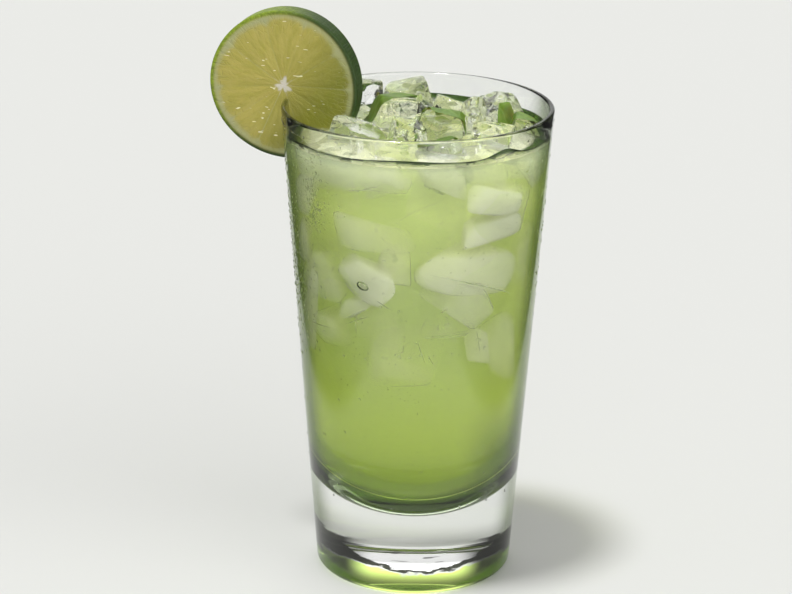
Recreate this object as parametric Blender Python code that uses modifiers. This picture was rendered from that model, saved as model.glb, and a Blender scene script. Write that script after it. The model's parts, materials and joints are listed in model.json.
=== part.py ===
"""A mojito in a tall, heavy-based tumbler, with ice, mint and a slice of lime on the rim.

Metres, +Z up. The origin is the middle of the foot, on the surface that the glass stands on.
The side that faces the viewer is -Y, and the lime sits on the rim at -X, a little behind the middle.
"""

import math
import random

import bmesh
import bpy
from mathutils import Matrix, Vector
from mathutils.bvhtree import BVHTree

# Glass
GLASS_HEIGHT = 0.150
RIM_RADIUS = 0.0417
FOOT_RADIUS = 0.0308
TAPER = (RIM_RADIUS - FOOT_RADIUS) / GLASS_HEIGHT
WALL_AT_RIM = 0.0016
WALL_AT_FOOT = 0.0027
WALL_TAPER = (WALL_AT_FOOT - WALL_AT_RIM) / GLASS_HEIGHT
FLOOR_HEIGHT = 0.0211
BOWL_DEPTH = 0.0300
BOWL_STEPS = 12
FOOT_CORNER = 0.0026
ROUND_STEPS = 64

# Drink
GAP = 0.0003
DRINK_LEVEL = 0.1418
MENISCUS_RISE = 0.0012
MENISCUS_REACH = 0.0030

# Lime slice
LIME_RADIUS = 0.02335
LIME_THICKNESS = 0.0072
LIME_ANGLE = math.radians(166.5)
LIME_FROM_AXIS = 0.0415
LIME_HEIGHT = 0.15405
LIME_WAVES = ((2, 0.0109, 0.88), (3, 0.0107, -0.62))
LIME_RIND = 0.0022
SLIT_LENGTH = 0.0280
SLIT_ROOM = 0.0004
LIME_CORE = 0.0020
LIME_SEGMENTS = 10
LIME_STEPS = 60
PULP_SWELL = 0.00030

# Mint
LEAF_THICKNESS = 0.0005
LEAF_CLEARANCE = 0.0007
LEAF_COLUMNS = 14
LEAF_ROWS = 5
LEAF_TEETH = 7
TOOTH_DEPTH = 0.07
LEAF_SETTLE_PASSES = 14
PROBES = ((0, 0), (1, 0), (-1, 0), (0, 1), (0, -1), (0.7, 0.7), (-0.7, 0.7), (0.7, -0.7), (-0.7, -0.7))
PROBE_REACH = 0.0009

# Ice: name, centre, size and turn about X, Y and Z in degrees
ICE_CORNER_JITTER = 0.13
ICE_EDGE = 0.0019
ICE = (
    ("ice_back", (-0.0030, 0.0255, 0.1446), (0.0145, 0.0110, 0.0115), (10, -9, 14)),
    ("ice_behind_lime", (-0.0185, 0.0210, 0.1450), (0.0125, 0.0120, 0.0145), (6, 10, 28)),
    ("ice_under_mint", (-0.0064, 0.0100, 0.1427), (0.0150, 0.0130, 0.0135), (-6, 8, 12)),
    ("ice_left", (-0.0186, -0.0080, 0.1402), (0.0180, 0.0130, 0.0115), (8, 9, -14)),
    ("ice_front", (-0.0034, -0.0145, 0.1432), (0.0090, 0.0090, 0.0120), (18, 14, 36)),
    ("ice_middle", (0.0074, -0.0035, 0.1420), (0.0130, 0.0120, 0.0120), (4, -7, 16)),
    ("ice_upright", (0.0168, 0.0020, 0.1452), (0.0062, 0.0075, 0.0140), (3, 9, 18)),
    ("ice_slab", (0.0232, -0.0100, 0.1422), (0.0125, 0.0110, 0.0100), (-14, 10, -24)),
    ("ice_right", (0.0254, 0.0122, 0.1435), (0.0100, 0.0105, 0.0125), (14, -10, 36)),
    ("ice_wall", (0.0326, -0.0020, 0.1408), (0.0080, 0.0105, 0.0110), (8, 6, 8)),
    ("ice_far_right", (0.0118, 0.0190, 0.1408), (0.0145, 0.0125, 0.0115), (-7, 8, -14)),
    ("ice_far_wall", (0.0215, 0.0268, 0.1402), (0.0090, 0.0080, 0.0100), (9, 12, 40)),
    ("ice_low", (0.0080, -0.0218, 0.1380), (0.0125, 0.0105, 0.0105), (12, -16, 24)),
)

# Mint leaves: name, middle over the ice, heading in degrees, length and width
LEAVES = (
    ("mint_left", (-0.0088, 0.0105), 38, 0.0220, 0.0100),
    ("mint_middle", (0.0088, 0.0010), -56, 0.0205, 0.0105),
    ("mint_small", (-0.0018, -0.0008), -24, 0.0088, 0.0072),
    ("mint_right", (0.0312, 0.0010), -40, 0.0165, 0.0100),
    ("mint_front", (0.0060, -0.0215), 14, 0.0125, 0.0055),
)


def clear_scene():
    for old in list(bpy.data.objects):
        bpy.data.objects.remove(old)


def collection(name):
    made = bpy.data.collections.new(name)
    bpy.context.scene.collection.children.link(made)
    return made


def material(name, colour, roughness, transmission=0.0):
    made = bpy.data.materials.new(name)
    made.use_nodes = True
    shader = made.node_tree.nodes["Principled BSDF"]
    shader.inputs["Base Color"].default_value = (*colour, 1)
    shader.inputs["Roughness"].default_value = roughness
    shader.inputs["Metallic"].default_value = 0.0
    shader.inputs["Transmission Weight"].default_value = transmission
    return made


def add_object(name, mesh, finish, group):
    made = bpy.data.objects.new(name, mesh)
    if finish is not None:
        mesh.materials.append(finish)
    group.objects.link(made)
    return made


def as_cutter(obj):
    obj.hide_render = True
    obj.display_type = "WIRE"
    return obj


def evaluated_mesh(obj):
    """The object's mesh with its modifiers applied, as new data in the object's own space."""
    bpy.context.view_layer.update()
    graph = bpy.context.evaluated_depsgraph_get()
    return bpy.data.meshes.new_from_object(obj.evaluated_get(graph))


def turned(name, profile, steps, finish, group, ring=False):
    """A closed turned shape from (radius, height) points that run down its outer side.

    A ring's last point is joined to its first.
    """
    mesh = bpy.data.meshes.new(name)
    points = [(radius, 0.0, height) for radius, height in profile]
    edges = [(i, i + 1) for i in range(len(points) - 1)]
    if ring:
        edges.append((len(points) - 1, 0))
    mesh.from_pydata(points, edges, [])
    made = add_object(name, mesh, finish, group)
    screw = made.modifiers.new("Turn", "SCREW")
    screw.steps = steps
    screw.render_steps = steps
    screw.use_merge_vertices = True
    screw.merge_threshold = 0.00005
    return made


def outer_radius(height):
    return FOOT_RADIUS + TAPER * height


def inner_radius(height):
    return outer_radius(height) - WALL_AT_FOOT + WALL_TAPER * height


def rounded_corner(radius_at, slope, floor, corner, steps):
    """Points of an arc from a level floor up to a wall whose radius grows by slope times the height."""
    middle_height = floor + corner
    middle_radius = radius_at(middle_height) - corner * math.hypot(1, slope)
    end = -math.atan(slope)
    for i in range(steps + 1):
        angle = -math.pi / 2 + (end + math.pi / 2) * i / steps
        yield middle_radius + corner * math.cos(angle), middle_height + corner * math.sin(angle)


def bowl(radius_at, floor, depth, steps):
    """Points of an oval bowl, from the middle of its floor up to where it meets the inner wall smoothly."""
    slope = TAPER + WALL_TAPER
    middle = floor + depth
    width = math.sqrt(radius_at(middle) ** 2 - (slope * depth) ** 2)
    end = -math.atan(slope * depth / width)
    for i in range(1, steps + 1):
        angle = -math.pi / 2 + (end + math.pi / 2) * i / steps
        yield width * math.cos(angle), middle + depth * math.sin(angle)


def lip_arc(inner, outer, top, steps):
    """Half a circle over the rim, from the inner wall to the outer one."""
    middle, radius = (inner + outer) / 2, (outer - inner) / 2
    for i in range(steps + 1):
        angle = math.pi - math.pi * i / steps
        yield middle + radius * math.cos(angle), top - radius + radius * math.sin(angle)


def glass_profile():
    """The tumbler's section from the middle of the floor over the rim to the middle of the foot."""
    points = [(0.0, FLOOR_HEIGHT)]
    points += bowl(inner_radius, FLOOR_HEIGHT, BOWL_DEPTH, BOWL_STEPS)
    lip = (inner_radius(GLASS_HEIGHT), outer_radius(GLASS_HEIGHT))
    points += lip_arc(*lip, GLASS_HEIGHT, 5)
    points += reversed(list(rounded_corner(outer_radius, TAPER, 0.0, FOOT_CORNER, 4)))
    points.append((0.0, 0.0))
    return points


def make_glass(finish, group):
    glass = turned("glass", glass_profile(), ROUND_STEPS, finish, group)
    glass.modifiers["Turn"].use_smooth_shade = True
    return glass


def drink_profile():
    """The drink's section from the middle of its surface, up the meniscus, and down inside the glass."""

    def side(height):
        return inner_radius(height) - GAP

    wall_top = DRINK_LEVEL + MENISCUS_RISE
    edge = side(wall_top)
    points = [(0.0, DRINK_LEVEL), (edge - MENISCUS_REACH, DRINK_LEVEL)]
    for share in (0.35, 0.7, 1.0):
        rise = MENISCUS_RISE * share**2.5
        points.append((edge - MENISCUS_REACH * (1 - share), DRINK_LEVEL + rise))
    points += reversed(list(bowl(side, FLOOR_HEIGHT + GAP, BOWL_DEPTH - GAP, BOWL_STEPS)))
    points.append((0.0, FLOOR_HEIGHT + GAP))
    return points


def make_drink(cutters, finish, group):
    drink = turned("drink", drink_profile(), ROUND_STEPS, finish, group)
    cut = drink.modifiers.new("Round the garnish", "BOOLEAN")
    cut.operation = "DIFFERENCE"
    cut.operand_type = "COLLECTION"
    cut.collection = cutters
    cut.solver = "EXACT"
    return drink


def slice_profile(grow=0.0):
    """Half the section of a plain lime slice, turned about its own axis: face, rind and back."""
    half, radius = LIME_THICKNESS / 2 + grow, LIME_RADIUS + grow
    edge = 0.0006
    face = (0.0, LIME_CORE, 0.35 * radius, 0.6 * radius, 0.8 * radius, radius - LIME_RIND)
    top = [(r, half) for r in face]
    rim = [(radius - edge, half), (radius, half - edge)]
    return top + rim + [(r, -h) for r, h in reversed(top + rim)]


def pulp_relief(radius, angle):
    """How far the juice sacs of a segment swell out of the cut face, between its two membranes."""
    inner, outer = LIME_CORE, LIME_RADIUS - LIME_RIND
    if not inner < radius < outer:
        return 0.0
    across = abs(math.sin(angle * LIME_SEGMENTS / 2)) ** 0.6
    along = math.sin(math.pi * (radius - inner) / (outer - inner)) ** 0.5
    return PULP_SWELL * across * along


def out_of_round(angle):
    """How much wider than a circle the slice is in a direction, measured from outwards towards up."""
    return 1 + sum(size * math.cos(waves * angle - start) for waves, size, start in LIME_WAVES)


def slice_matrix():
    """Turns a slice's own axis level and square to the rim, and puts its core over the wall."""
    outwards = Vector((math.cos(LIME_ANGLE), math.sin(LIME_ANGLE), 0))
    up = Vector((0, 0, 1))
    front = outwards.cross(up)
    turn = Matrix((outwards, up, front)).transposed()
    place = outwards * LIME_FROM_AXIS + up * LIME_HEIGHT
    return Matrix.Translation(place) @ turn.to_4x4()


def make_wall_cutter(group):
    """The glass wall near the rim with a little room round it, which leaves the slit in the slice."""
    low, high = LIME_HEIGHT - SLIT_LENGTH, GLASS_HEIGHT + GAP
    room = SLIT_ROOM
    section = [
        (inner_radius(low) - room, low),
        (inner_radius(high) - room, high),
        (outer_radius(high) + room, high),
        (outer_radius(low) + room, low),
    ]
    return as_cutter(turned("lime_slit", section, 2 * ROUND_STEPS, None, group, ring=True))


def make_lime_slice(slit, finish, group):
    plain = turned("lime_plain", slice_profile(), LIME_STEPS, None, group)
    mesh = evaluated_mesh(plain)
    bpy.data.objects.remove(plain)
    for vertex in mesh.vertices:
        radius = math.hypot(vertex.co.x, vertex.co.y)
        angle = math.atan2(vertex.co.y, vertex.co.x)
        side = math.copysign(1, vertex.co.z)
        vertex.co.z += side * pulp_relief(radius, angle)
        vertex.co.xy *= out_of_round(angle)
    made = add_object("lime_slice", mesh, finish, group)
    made.matrix_world = slice_matrix()
    cut = made.modifiers.new("Slit", "BOOLEAN")
    cut.operation = "DIFFERENCE"
    cut.object = slit
    cut.solver = "EXACT"
    return made


def make_lime_cutter(group):
    room = GAP + PULP_SWELL + LIME_RADIUS * sum(size for _, size, _ in LIME_WAVES)
    made = turned("lime_room", slice_profile(grow=room), LIME_STEPS, None, group)
    made.matrix_world = slice_matrix()
    return as_cutter(made)


def make_ice(name, centre, size, turn, finish, group):
    """A half-melted cube: a box whose corners have wandered, with rounded edges."""
    draw = random.Random(name)
    shape = bmesh.new()
    bmesh.ops.create_cube(shape, size=1.0)
    for corner in shape.verts:
        for axis in range(3):
            corner.co[axis] *= 1 - ICE_CORNER_JITTER * draw.random()
        corner.co = Vector(a * b for a, b in zip(corner.co, size))
    bmesh.ops.triangulate(shape, faces=shape.faces)
    mesh = bpy.data.meshes.new(name)
    shape.to_mesh(mesh)
    shape.free()
    made = add_object(name, mesh, finish, group)
    made.location = centre
    made.rotation_euler = [math.radians(angle) for angle in turn]
    bevel = made.modifiers.new("Melted edges", "BEVEL")
    bevel.width = ICE_EDGE
    bevel.segments = 2
    bevel.limit_method = "ANGLE"
    bevel.angle_limit = math.radians(25)
    return made


def make_ice_cutter(ice, group):
    """A copy of the ice, grown by the gap that the drink keeps to it."""
    mesh = evaluated_mesh(ice)
    mesh.materials.clear()
    made = add_object(ice.name + "_room", mesh, None, group)
    made.matrix_world = ice.matrix_world.copy()
    grow = made.modifiers.new("Room", "DISPLACE")
    grow.strength = GAP
    grow.mid_level = 0.0
    return as_cutter(made)


def tops_of(objects):
    """Search trees of the objects' surfaces in world space."""
    trees = []
    for obj in objects:
        mesh = evaluated_mesh(obj)
        mesh.transform(obj.matrix_world)
        points = [v.co.copy() for v in mesh.vertices]
        trees.append(BVHTree.FromPolygons(points, [tuple(p.vertices) for p in mesh.polygons]))
        bpy.data.meshes.remove(mesh)
    return trees


def height_under(trees, x, y):
    """The highest surface close round a point over the glass: ice, or else the drink."""
    heights = [DRINK_LEVEL]
    for aside, along in PROBES:
        start = Vector((x + aside * PROBE_REACH, y + along * PROBE_REACH, 2 * GLASS_HEIGHT))
        hits = [tree.ray_cast(start, Vector((0, 0, -1)))[0] for tree in trees]
        heights += [hit.z for hit in hits if hit is not None]
    return max(heights)


def leaf_half_width(along, width):
    """Half the width of a pointed, toothed oval leaf, at a place from 0 at the stalk to 1 at the tip."""
    oval = math.sin(math.pi * along**0.85) ** 0.8
    tooth = 1 - TOOTH_DEPTH * (1 - abs(math.sin(math.pi * LEAF_TEETH * along)))
    return max(width / 2 * oval * tooth, 0.02 * width)


def settled(grid):
    """A sheet laid over bumps: each point rises to its neighbours' mean, and never sinks below its bump."""
    rows, columns = len(grid), len(grid[0])
    bumps = [list(row) for row in grid]
    for _ in range(LEAF_SETTLE_PASSES):
        last = [list(row) for row in grid]
        for i in range(rows):
            for j in range(columns):
                near = [last[k][j] for k in (i - 1, i + 1) if 0 <= k < rows]
                near += [last[i][k] for k in (j - 1, j + 1) if 0 <= k < columns]
                grid[i][j] = max(bumps[i][j], sum(near) / len(near))
    return grid


def make_leaf(name, middle, heading, length, width, trees, finish, group):
    """A mint leaf draped over the ice: a pointed oval with toothed edges and a fold along its midrib."""
    turn = math.radians(heading)
    ahead = Vector((math.cos(turn), math.sin(turn)))
    beside = Vector((-ahead.y, ahead.x))
    places, heights = [], []
    for row in range(LEAF_ROWS + 1):
        across = 2 * row / LEAF_ROWS - 1
        places.append([])
        heights.append([])
        for column in range(LEAF_COLUMNS + 1):
            along = column / LEAF_COLUMNS
            spot = Vector(middle) + ahead * length * (along - 0.5)
            spot += beside * across * leaf_half_width(along, width)
            places[-1].append(spot)
            heights[-1].append(height_under(trees, spot.x, spot.y))
    heights = settled(heights)
    shape = bmesh.new()
    bmesh.ops.create_grid(shape, x_segments=LEAF_COLUMNS, y_segments=LEAF_ROWS, size=0.5)
    for vertex in shape.verts:
        column = round((vertex.co.x + 0.5) * LEAF_COLUMNS)
        row = round((vertex.co.y + 0.5) * LEAF_ROWS)
        spot = places[row][column]
        wave = 0.00035 * (1 + math.sin(2.2 * column + 1.3 * row))
        vertex.co = (spot.x, spot.y, heights[row][column] + LEAF_CLEARANCE + wave)
    bmesh.ops.triangulate(shape, faces=shape.faces)
    mesh = bpy.data.meshes.new(name)
    shape.to_mesh(mesh)
    shape.free()
    made = add_object(name, mesh, finish, group)
    thick = made.modifiers.new("Leaf thickness", "SOLIDIFY")
    thick.thickness = LEAF_THICKNESS
    thick.offset = 1.0
    thick.use_even_offset = False
    return made


def main():
    clear_scene()
    parts = collection("mojito")
    cutters = collection("cutters")
    slit_group = collection("slit")
    glass_finish = material("clear_glass", (0.95, 0.97, 0.95), 0.03, 1.0)
    drink_finish = material("lime_drink", (0.42, 0.58, 0.12), 0.1, 0.6)
    ice_finish = material("ice", (0.9, 0.95, 0.92), 0.08, 1.0)
    lime_finish = material("lime", (0.42, 0.45, 0.10), 0.35)
    mint_finish = material("mint", (0.12, 0.26, 0.05), 0.4)

    make_glass(glass_finish, parts)
    slit = make_wall_cutter(slit_group)
    make_lime_slice(slit, lime_finish, parts)
    make_lime_cutter(cutters)
    blocks = [make_ice(*row, ice_finish, parts) for row in ICE]
    bpy.context.view_layer.update()
    for block in blocks:
        make_ice_cutter(block, cutters)
    make_drink(cutters, drink_finish, parts)
    trees = tops_of(blocks)
    for row in LEAVES:
        make_leaf(*row, trees, mint_finish, parts)


main()
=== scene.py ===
# %% [markdown]
# A mojito in a tall tumbler, with ice, mint and a slice of lime on the rim.
#
# The drink is already there as plain solids, in their real places and at their real size. This script
# dresses them. It makes a clear glass, a cloudy green drink, wet ice, leaves and fruit, and sets them
# on a pale floor in soft light. Everything is in the same place as the solids, so nothing is fitted by eye.

# %% Load the solids
import json
import math

import bmesh
import bpy
import numpy as np
from mathutils import Euler, Matrix, Vector

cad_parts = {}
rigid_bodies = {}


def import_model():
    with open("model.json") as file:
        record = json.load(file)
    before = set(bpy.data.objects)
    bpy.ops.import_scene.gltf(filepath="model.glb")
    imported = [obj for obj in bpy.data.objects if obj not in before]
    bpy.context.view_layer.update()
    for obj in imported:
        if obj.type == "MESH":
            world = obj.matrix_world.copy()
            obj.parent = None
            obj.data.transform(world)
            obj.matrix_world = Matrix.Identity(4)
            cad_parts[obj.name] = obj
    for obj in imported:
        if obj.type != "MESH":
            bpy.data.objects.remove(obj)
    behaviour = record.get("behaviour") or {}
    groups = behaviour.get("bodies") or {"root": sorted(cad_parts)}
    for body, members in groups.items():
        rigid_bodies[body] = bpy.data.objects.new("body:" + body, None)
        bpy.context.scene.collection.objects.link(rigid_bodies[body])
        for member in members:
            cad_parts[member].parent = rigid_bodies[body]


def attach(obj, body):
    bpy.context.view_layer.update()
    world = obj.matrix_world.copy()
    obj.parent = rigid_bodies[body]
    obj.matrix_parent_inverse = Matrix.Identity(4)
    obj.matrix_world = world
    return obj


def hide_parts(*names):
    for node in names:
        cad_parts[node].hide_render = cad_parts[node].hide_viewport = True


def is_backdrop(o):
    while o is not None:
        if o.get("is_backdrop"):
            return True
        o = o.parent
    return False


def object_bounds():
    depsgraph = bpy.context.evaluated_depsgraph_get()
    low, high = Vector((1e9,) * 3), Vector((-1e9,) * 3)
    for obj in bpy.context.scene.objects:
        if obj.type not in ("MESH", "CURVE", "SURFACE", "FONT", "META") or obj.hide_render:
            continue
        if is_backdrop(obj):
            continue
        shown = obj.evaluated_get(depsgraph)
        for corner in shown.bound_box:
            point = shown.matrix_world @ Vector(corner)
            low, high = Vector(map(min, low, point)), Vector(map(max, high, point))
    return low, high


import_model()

cad_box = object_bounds()
print("solids reach from", *[[round(float(v), 4) for v in corner] for corner in cad_box])

# %% [markdown]
# Most of this object is round or closed, like a ball that has been pulled into shape: the tumbler, the
# drink, an ice cube, a slice of lime, even a leaf. One way of building serves them all. A piece is an array
# of points in rows and columns, like the lines of latitude and longitude on a globe. The first and the last
# row are the poles, and each other row is a closed ring. Sizes are in millimetres until the mesh is made.

# %% A closed skin from rings of points
MM = 0.001


def ring_faces(rows, columns):
    """Four-sided faces between neighbouring rings, and a fan of triangles round each pole."""
    column = np.arange(columns)
    beside = (column + 1) % columns
    row = np.arange(rows - 3)[:, None] * columns + 1
    quads = np.stack([row + column, row + columns + column, row + columns + beside, row + beside], -1)
    last = (rows - 2) * columns + 1
    start = last - columns
    top = np.stack([np.zeros(columns, int), 1 + column, 1 + beside], -1)
    bottom = np.stack([np.full(columns, last), start + beside, start + column], -1)
    return quads.reshape(-1, 4), np.vstack([top, bottom])


def one_per_point(rings):
    """The values of a globe's array, one for each vertex: the poles have one, each ring its columns."""
    middle = rings[1:-1].reshape(-1, *rings.shape[2:])
    return np.concatenate([rings[0, :1], middle, rings[-1, :1]])


def mesh_from(name, points, quads, triangles):
    """A mesh from points in millimetres and arrays of four-sided and three-sided faces."""
    mesh = bpy.data.meshes.new(name)
    mesh.vertices.add(len(points))
    mesh.vertices.foreach_set("co", (points * MM).ravel())
    corners = np.concatenate([quads.ravel(), triangles.ravel()]).astype(np.int32)
    mesh.loops.add(len(corners))
    mesh.loops.foreach_set("vertex_index", corners)
    starts = np.concatenate([np.arange(len(quads)) * 4, 4 * len(quads) + np.arange(len(triangles)) * 3])
    mesh.polygons.add(len(starts))
    mesh.polygons.foreach_set("loop_start", starts.astype(np.int32))
    mesh.update(calc_edges=True)
    mesh.shade_smooth()
    return mesh


def skin(name, ring_sets):
    """One mesh from one or more closed skins."""
    points, quads, triangles, count = [], [], [], 0
    for rings in ring_sets:
        some_quads, some_triangles = ring_faces(rings.shape[0], rings.shape[1])
        points.append(one_per_point(rings))
        quads.append(some_quads + count)
        triangles.append(some_triangles + count)
        count += len(points[-1])
    return mesh_from(name, np.vstack(points), np.vstack(quads), np.vstack(triangles))


def keep_at_corners(mesh, name, kind, values):
    """Stores one value for each vertex at every face corner that touches it."""
    corner = np.zeros(len(mesh.loops), np.int32)
    mesh.loops.foreach_get("vertex_index", corner)
    layer = mesh.attributes.new(name, kind, "CORNER")
    field = {"FLOAT_COLOR": "color", "FLOAT_VECTOR": "vector", "FLOAT": "value"}[kind]
    layer.data.foreach_set(field, values[corner].astype(np.float32).ravel())


print("a skin of 5 rows and 8 columns has", sum(len(faces) for faces in ring_faces(5, 8)), "faces")

# %% [markdown]
# Every piece is put in the scene by one helper. It attaches the piece to the body that it moves with, gives
# it its material, and hides the plain solid that it takes the place of. Three simple shapes are needed again
# and again: a profile turned round the upright axis as on a lathe, a globe, and a ball of three radii.

# %% Show a piece, and simple shapes


def show(name, mesh, material, node=None):
    """Puts a mesh in the scene as a piece of the object, in the place of a solid if one is named."""
    mesh.materials.clear()
    mesh.materials.append(material)
    made = bpy.data.objects.new(name, mesh)
    bpy.context.scene.collection.objects.link(made)
    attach(made, "root")
    if node is not None:
        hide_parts(node)
    return made


def turned(profile, columns):
    """Rings from rows of (radius, height) carried round the upright axis."""
    profile = np.asarray(profile, float)
    angle = np.linspace(0, 2 * np.pi, columns, endpoint=False)
    radius, height = profile[:, :1], profile[:, 1:]
    return np.stack([radius * np.cos(angle), radius * np.sin(angle), height + 0 * angle], -1)


def turn_matrix(degrees):
    """Rotation about X, then Y, then Z."""
    return np.array(Euler([math.radians(angle) for angle in degrees]).to_matrix())


def globe(rows, columns):
    """Directions of length one over a globe, from the upper pole to the lower one."""
    down = np.linspace(0, np.pi, rows)[:, None]
    around = np.linspace(0, 2 * np.pi, columns, endpoint=False)[None, :]
    flat = np.sin(down)
    return np.stack([flat * np.cos(around), flat * np.sin(around), np.cos(down) + 0 * around], -1)


def ball(centre, radii, degrees=(0, 0, 0), rows=9, columns=14):
    """A ball pulled to three radii and turned."""
    return globe(rows, columns) * np.array(radii) @ turn_matrix(degrees).T + np.array(centre)


print("a small ball has", len(one_per_point(ball((0, 0, 0), (1, 1, 1)))), "points")

# %% [markdown]
# The camera stands a little above the rim and looks down on the drink with a long lens, which keeps the
# sides of the glass nearly parallel. Its place was worked out from the outline of the glass.

# %% Camera
CAMERA_BACK = 779.98
CAMERA_UP = 358.13
CAMERA_DIP = 0.3334
CAMERA_TURN = -0.0079
CAMERA_ROLL = 0.0083
LENS = 120.17
SENSOR = 36.0


def camera_axes():
    """The camera's right, up and forward directions from its turn, its dip and its roll."""
    turn, dip, roll = CAMERA_TURN, CAMERA_DIP, CAMERA_ROLL
    forward = np.array([math.sin(turn) * math.cos(dip), math.cos(turn) * math.cos(dip), -math.sin(dip)])
    level = np.cross(forward, [0, 0, 1])
    level /= np.linalg.norm(level)
    upright = np.cross(level, forward)
    right = level * math.cos(roll) + upright * math.sin(roll)
    return right, np.cross(right, forward), forward


def make_camera():
    """A camera at its place, turned so that its own axes lie along the three directions."""
    data = bpy.data.cameras.new("camera")
    data.sensor_width = SENSOR
    data.lens = LENS
    data.clip_start = 0.01
    made = bpy.data.objects.new("camera", data)
    bpy.context.scene.collection.objects.link(made)
    right, up, forward = camera_axes()
    turn = Matrix([right, up, -forward]).transposed().to_4x4()
    made.matrix_world = Matrix.Translation(Vector((0, -CAMERA_BACK, CAMERA_UP)) * MM) @ turn
    return made


bpy.context.scene.camera = make_camera()
print("lens", LENS, "mm, looking down", round(math.degrees(CAMERA_DIP), 1), "degrees")

# %% [markdown]
# A material is a small network: each node takes values in, works something out and passes it on. All the
# materials here are built from the same few kinds of node, so each kind gets a short helper.

# %% Node helpers


def add_node(tree, kind, values=(), **settings):
    """A new shader node with some of its settings and input values filled in."""
    made = tree.nodes.new("ShaderNode" + kind)
    for key, value in settings.items():
        setattr(made, key, value)
    for key, value in values:
        feed(tree, made.inputs[key], value)
    return made


def feed(tree, slot, term):
    """Links another node's output to a slot, or sets the slot to a value."""
    if isinstance(term, bpy.types.NodeSocket):
        tree.links.new(term, slot)
    elif slot.type == "RGBA":
        slot.default_value = (*term, 1)
    else:
        slot.default_value = term


def ramp(tree, source, span, low=0.0, high=1.0):
    """A smooth step: low where the source is under the span's start, and high where it is past its end."""
    made = add_node(tree, "MapRange", (("Value", source),), interpolation_type="SMOOTHSTEP")
    for key, number in zip(("From Min", "From Max", "To Min", "To Max"), (*span, low, high)):
        made.inputs[key].default_value = number
    return made.outputs[0]


def math_node(tree, operation, *terms):
    """One sum, whose terms are numbers or other nodes' outputs."""
    return add_node(tree, "Math", enumerate(terms), operation=operation).outputs[0]


def product(tree, first, *others):
    """All the terms multiplied together."""
    for term in others:
        first = math_node(tree, "MULTIPLY", first, term)
    return first


def mix_colour(tree, share, first, second):
    """Two colours mixed by a share, where each of the three is a value or another node's output."""
    made = add_node(tree, "Mix", data_type="RGBA")
    for key, term in (("Factor_Float", share), ("A_Color", first), ("B_Color", second)):
        feed(tree, next(slot for slot in made.inputs if slot.identifier == key), term)
    return next(slot for slot in made.outputs if slot.identifier == "Result_Color")


def vector_node(tree, operation, first, second, output="Vector"):
    """One operation on two vectors, each a value or another node's output."""
    values = ((0, first), (1, second))
    return add_node(tree, "VectorMath", values, operation=operation).outputs[output]


def noise(tree, place, scale, detail):
    """Soft random values from 0 to 1. The scale is one number, or one for each direction."""
    if isinstance(scale, tuple):
        place = vector_node(tree, "MULTIPLY", place, scale)
        scale = 1.0
    return add_node(tree, "TexNoise", (("Vector", place), ("Scale", scale), ("Detail", detail)))


def split(tree, vector, kind="SeparateXYZ"):
    """The three parts of a vector or of a colour."""
    return add_node(tree, kind, ((0, vector),)).outputs


print("node helpers:", *[helper.__name__ for helper in (ramp, math_node, product, mix_colour, noise, split)])

# %% [markdown]
# A pattern needs to know where on the object it is, and which way the surface faces. A relief goes to the
# shader's normal, where it bends the light without moving the surface. A pattern that is used as one thing
# becomes a node group, which takes a place and gives some values.

# %% Helpers for materials and node groups


def object_place(tree):
    """The place on the object, and its three parts."""
    place = add_node(tree, "TexCoord").outputs["Object"]
    return place, *split(tree, place)


def facing_away(tree):
    """How much the surface turns away from the eye, from 0 to 1."""
    return add_node(tree, "LayerWeight", (("Blend", 0.5),)).outputs["Facing"]


def kept(tree, name, output):
    """An attribute that the mesh keeps under this name."""
    return add_node(tree, "Attribute", attribute_name=name).outputs[output]


def set_relief(tree, height, strength, distance):
    """Feeds a relief into the shader's normal."""
    values = (("Height", height), ("Strength", strength), ("Distance", distance))
    feed(tree, tree.nodes["Principled BSDF"].inputs["Normal"], add_node(tree, "Bump", values).outputs[0])


def new_group(name, outputs):
    """An empty node group that takes a place and gives some values."""
    group = bpy.data.node_groups.new(name, "ShaderNodeTree")
    group.interface.new_socket("Place", in_out="INPUT", socket_type="NodeSocketVector")
    for output in outputs:
        group.interface.new_socket(output, in_out="OUTPUT", socket_type="NodeSocketFloat")
    return group, group.nodes.new("NodeGroupInput").outputs[0], group.nodes.new("NodeGroupOutput").inputs


def use_group(tree, group, place):
    """One use of a node group in a material; its outputs are returned."""
    made = add_node(tree, "Group", node_tree=group)
    feed(tree, made.inputs[0], place)
    return made.outputs


def new_material(name, values=()):
    """A material with some of its shader's sockets set; its node tree and the shader come with it."""
    material = bpy.data.materials.new(name)
    material.use_nodes = True
    tree = material.node_tree
    shader = tree.nodes["Principled BSDF"]
    for key, value in values:
        feed(tree, shader.inputs[key], value)
    return material, tree, shader


print("material helpers:", *[helper.__name__ for helper in (set_relief, new_group, use_group, new_material)])

# %% [markdown]
# Clear things have hardly any look of their own: they show what stands round them. So the room matters as
# much as the glass. A photographer lights a glass from behind, and keeps both sides dark, because that
# draws a dark line along each edge. Here the pale floor runs only as wide as the picture, and past it the
# floor and the room go dark. One lamp stands high up, a little to the left and in front. It adds the shadow.

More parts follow.
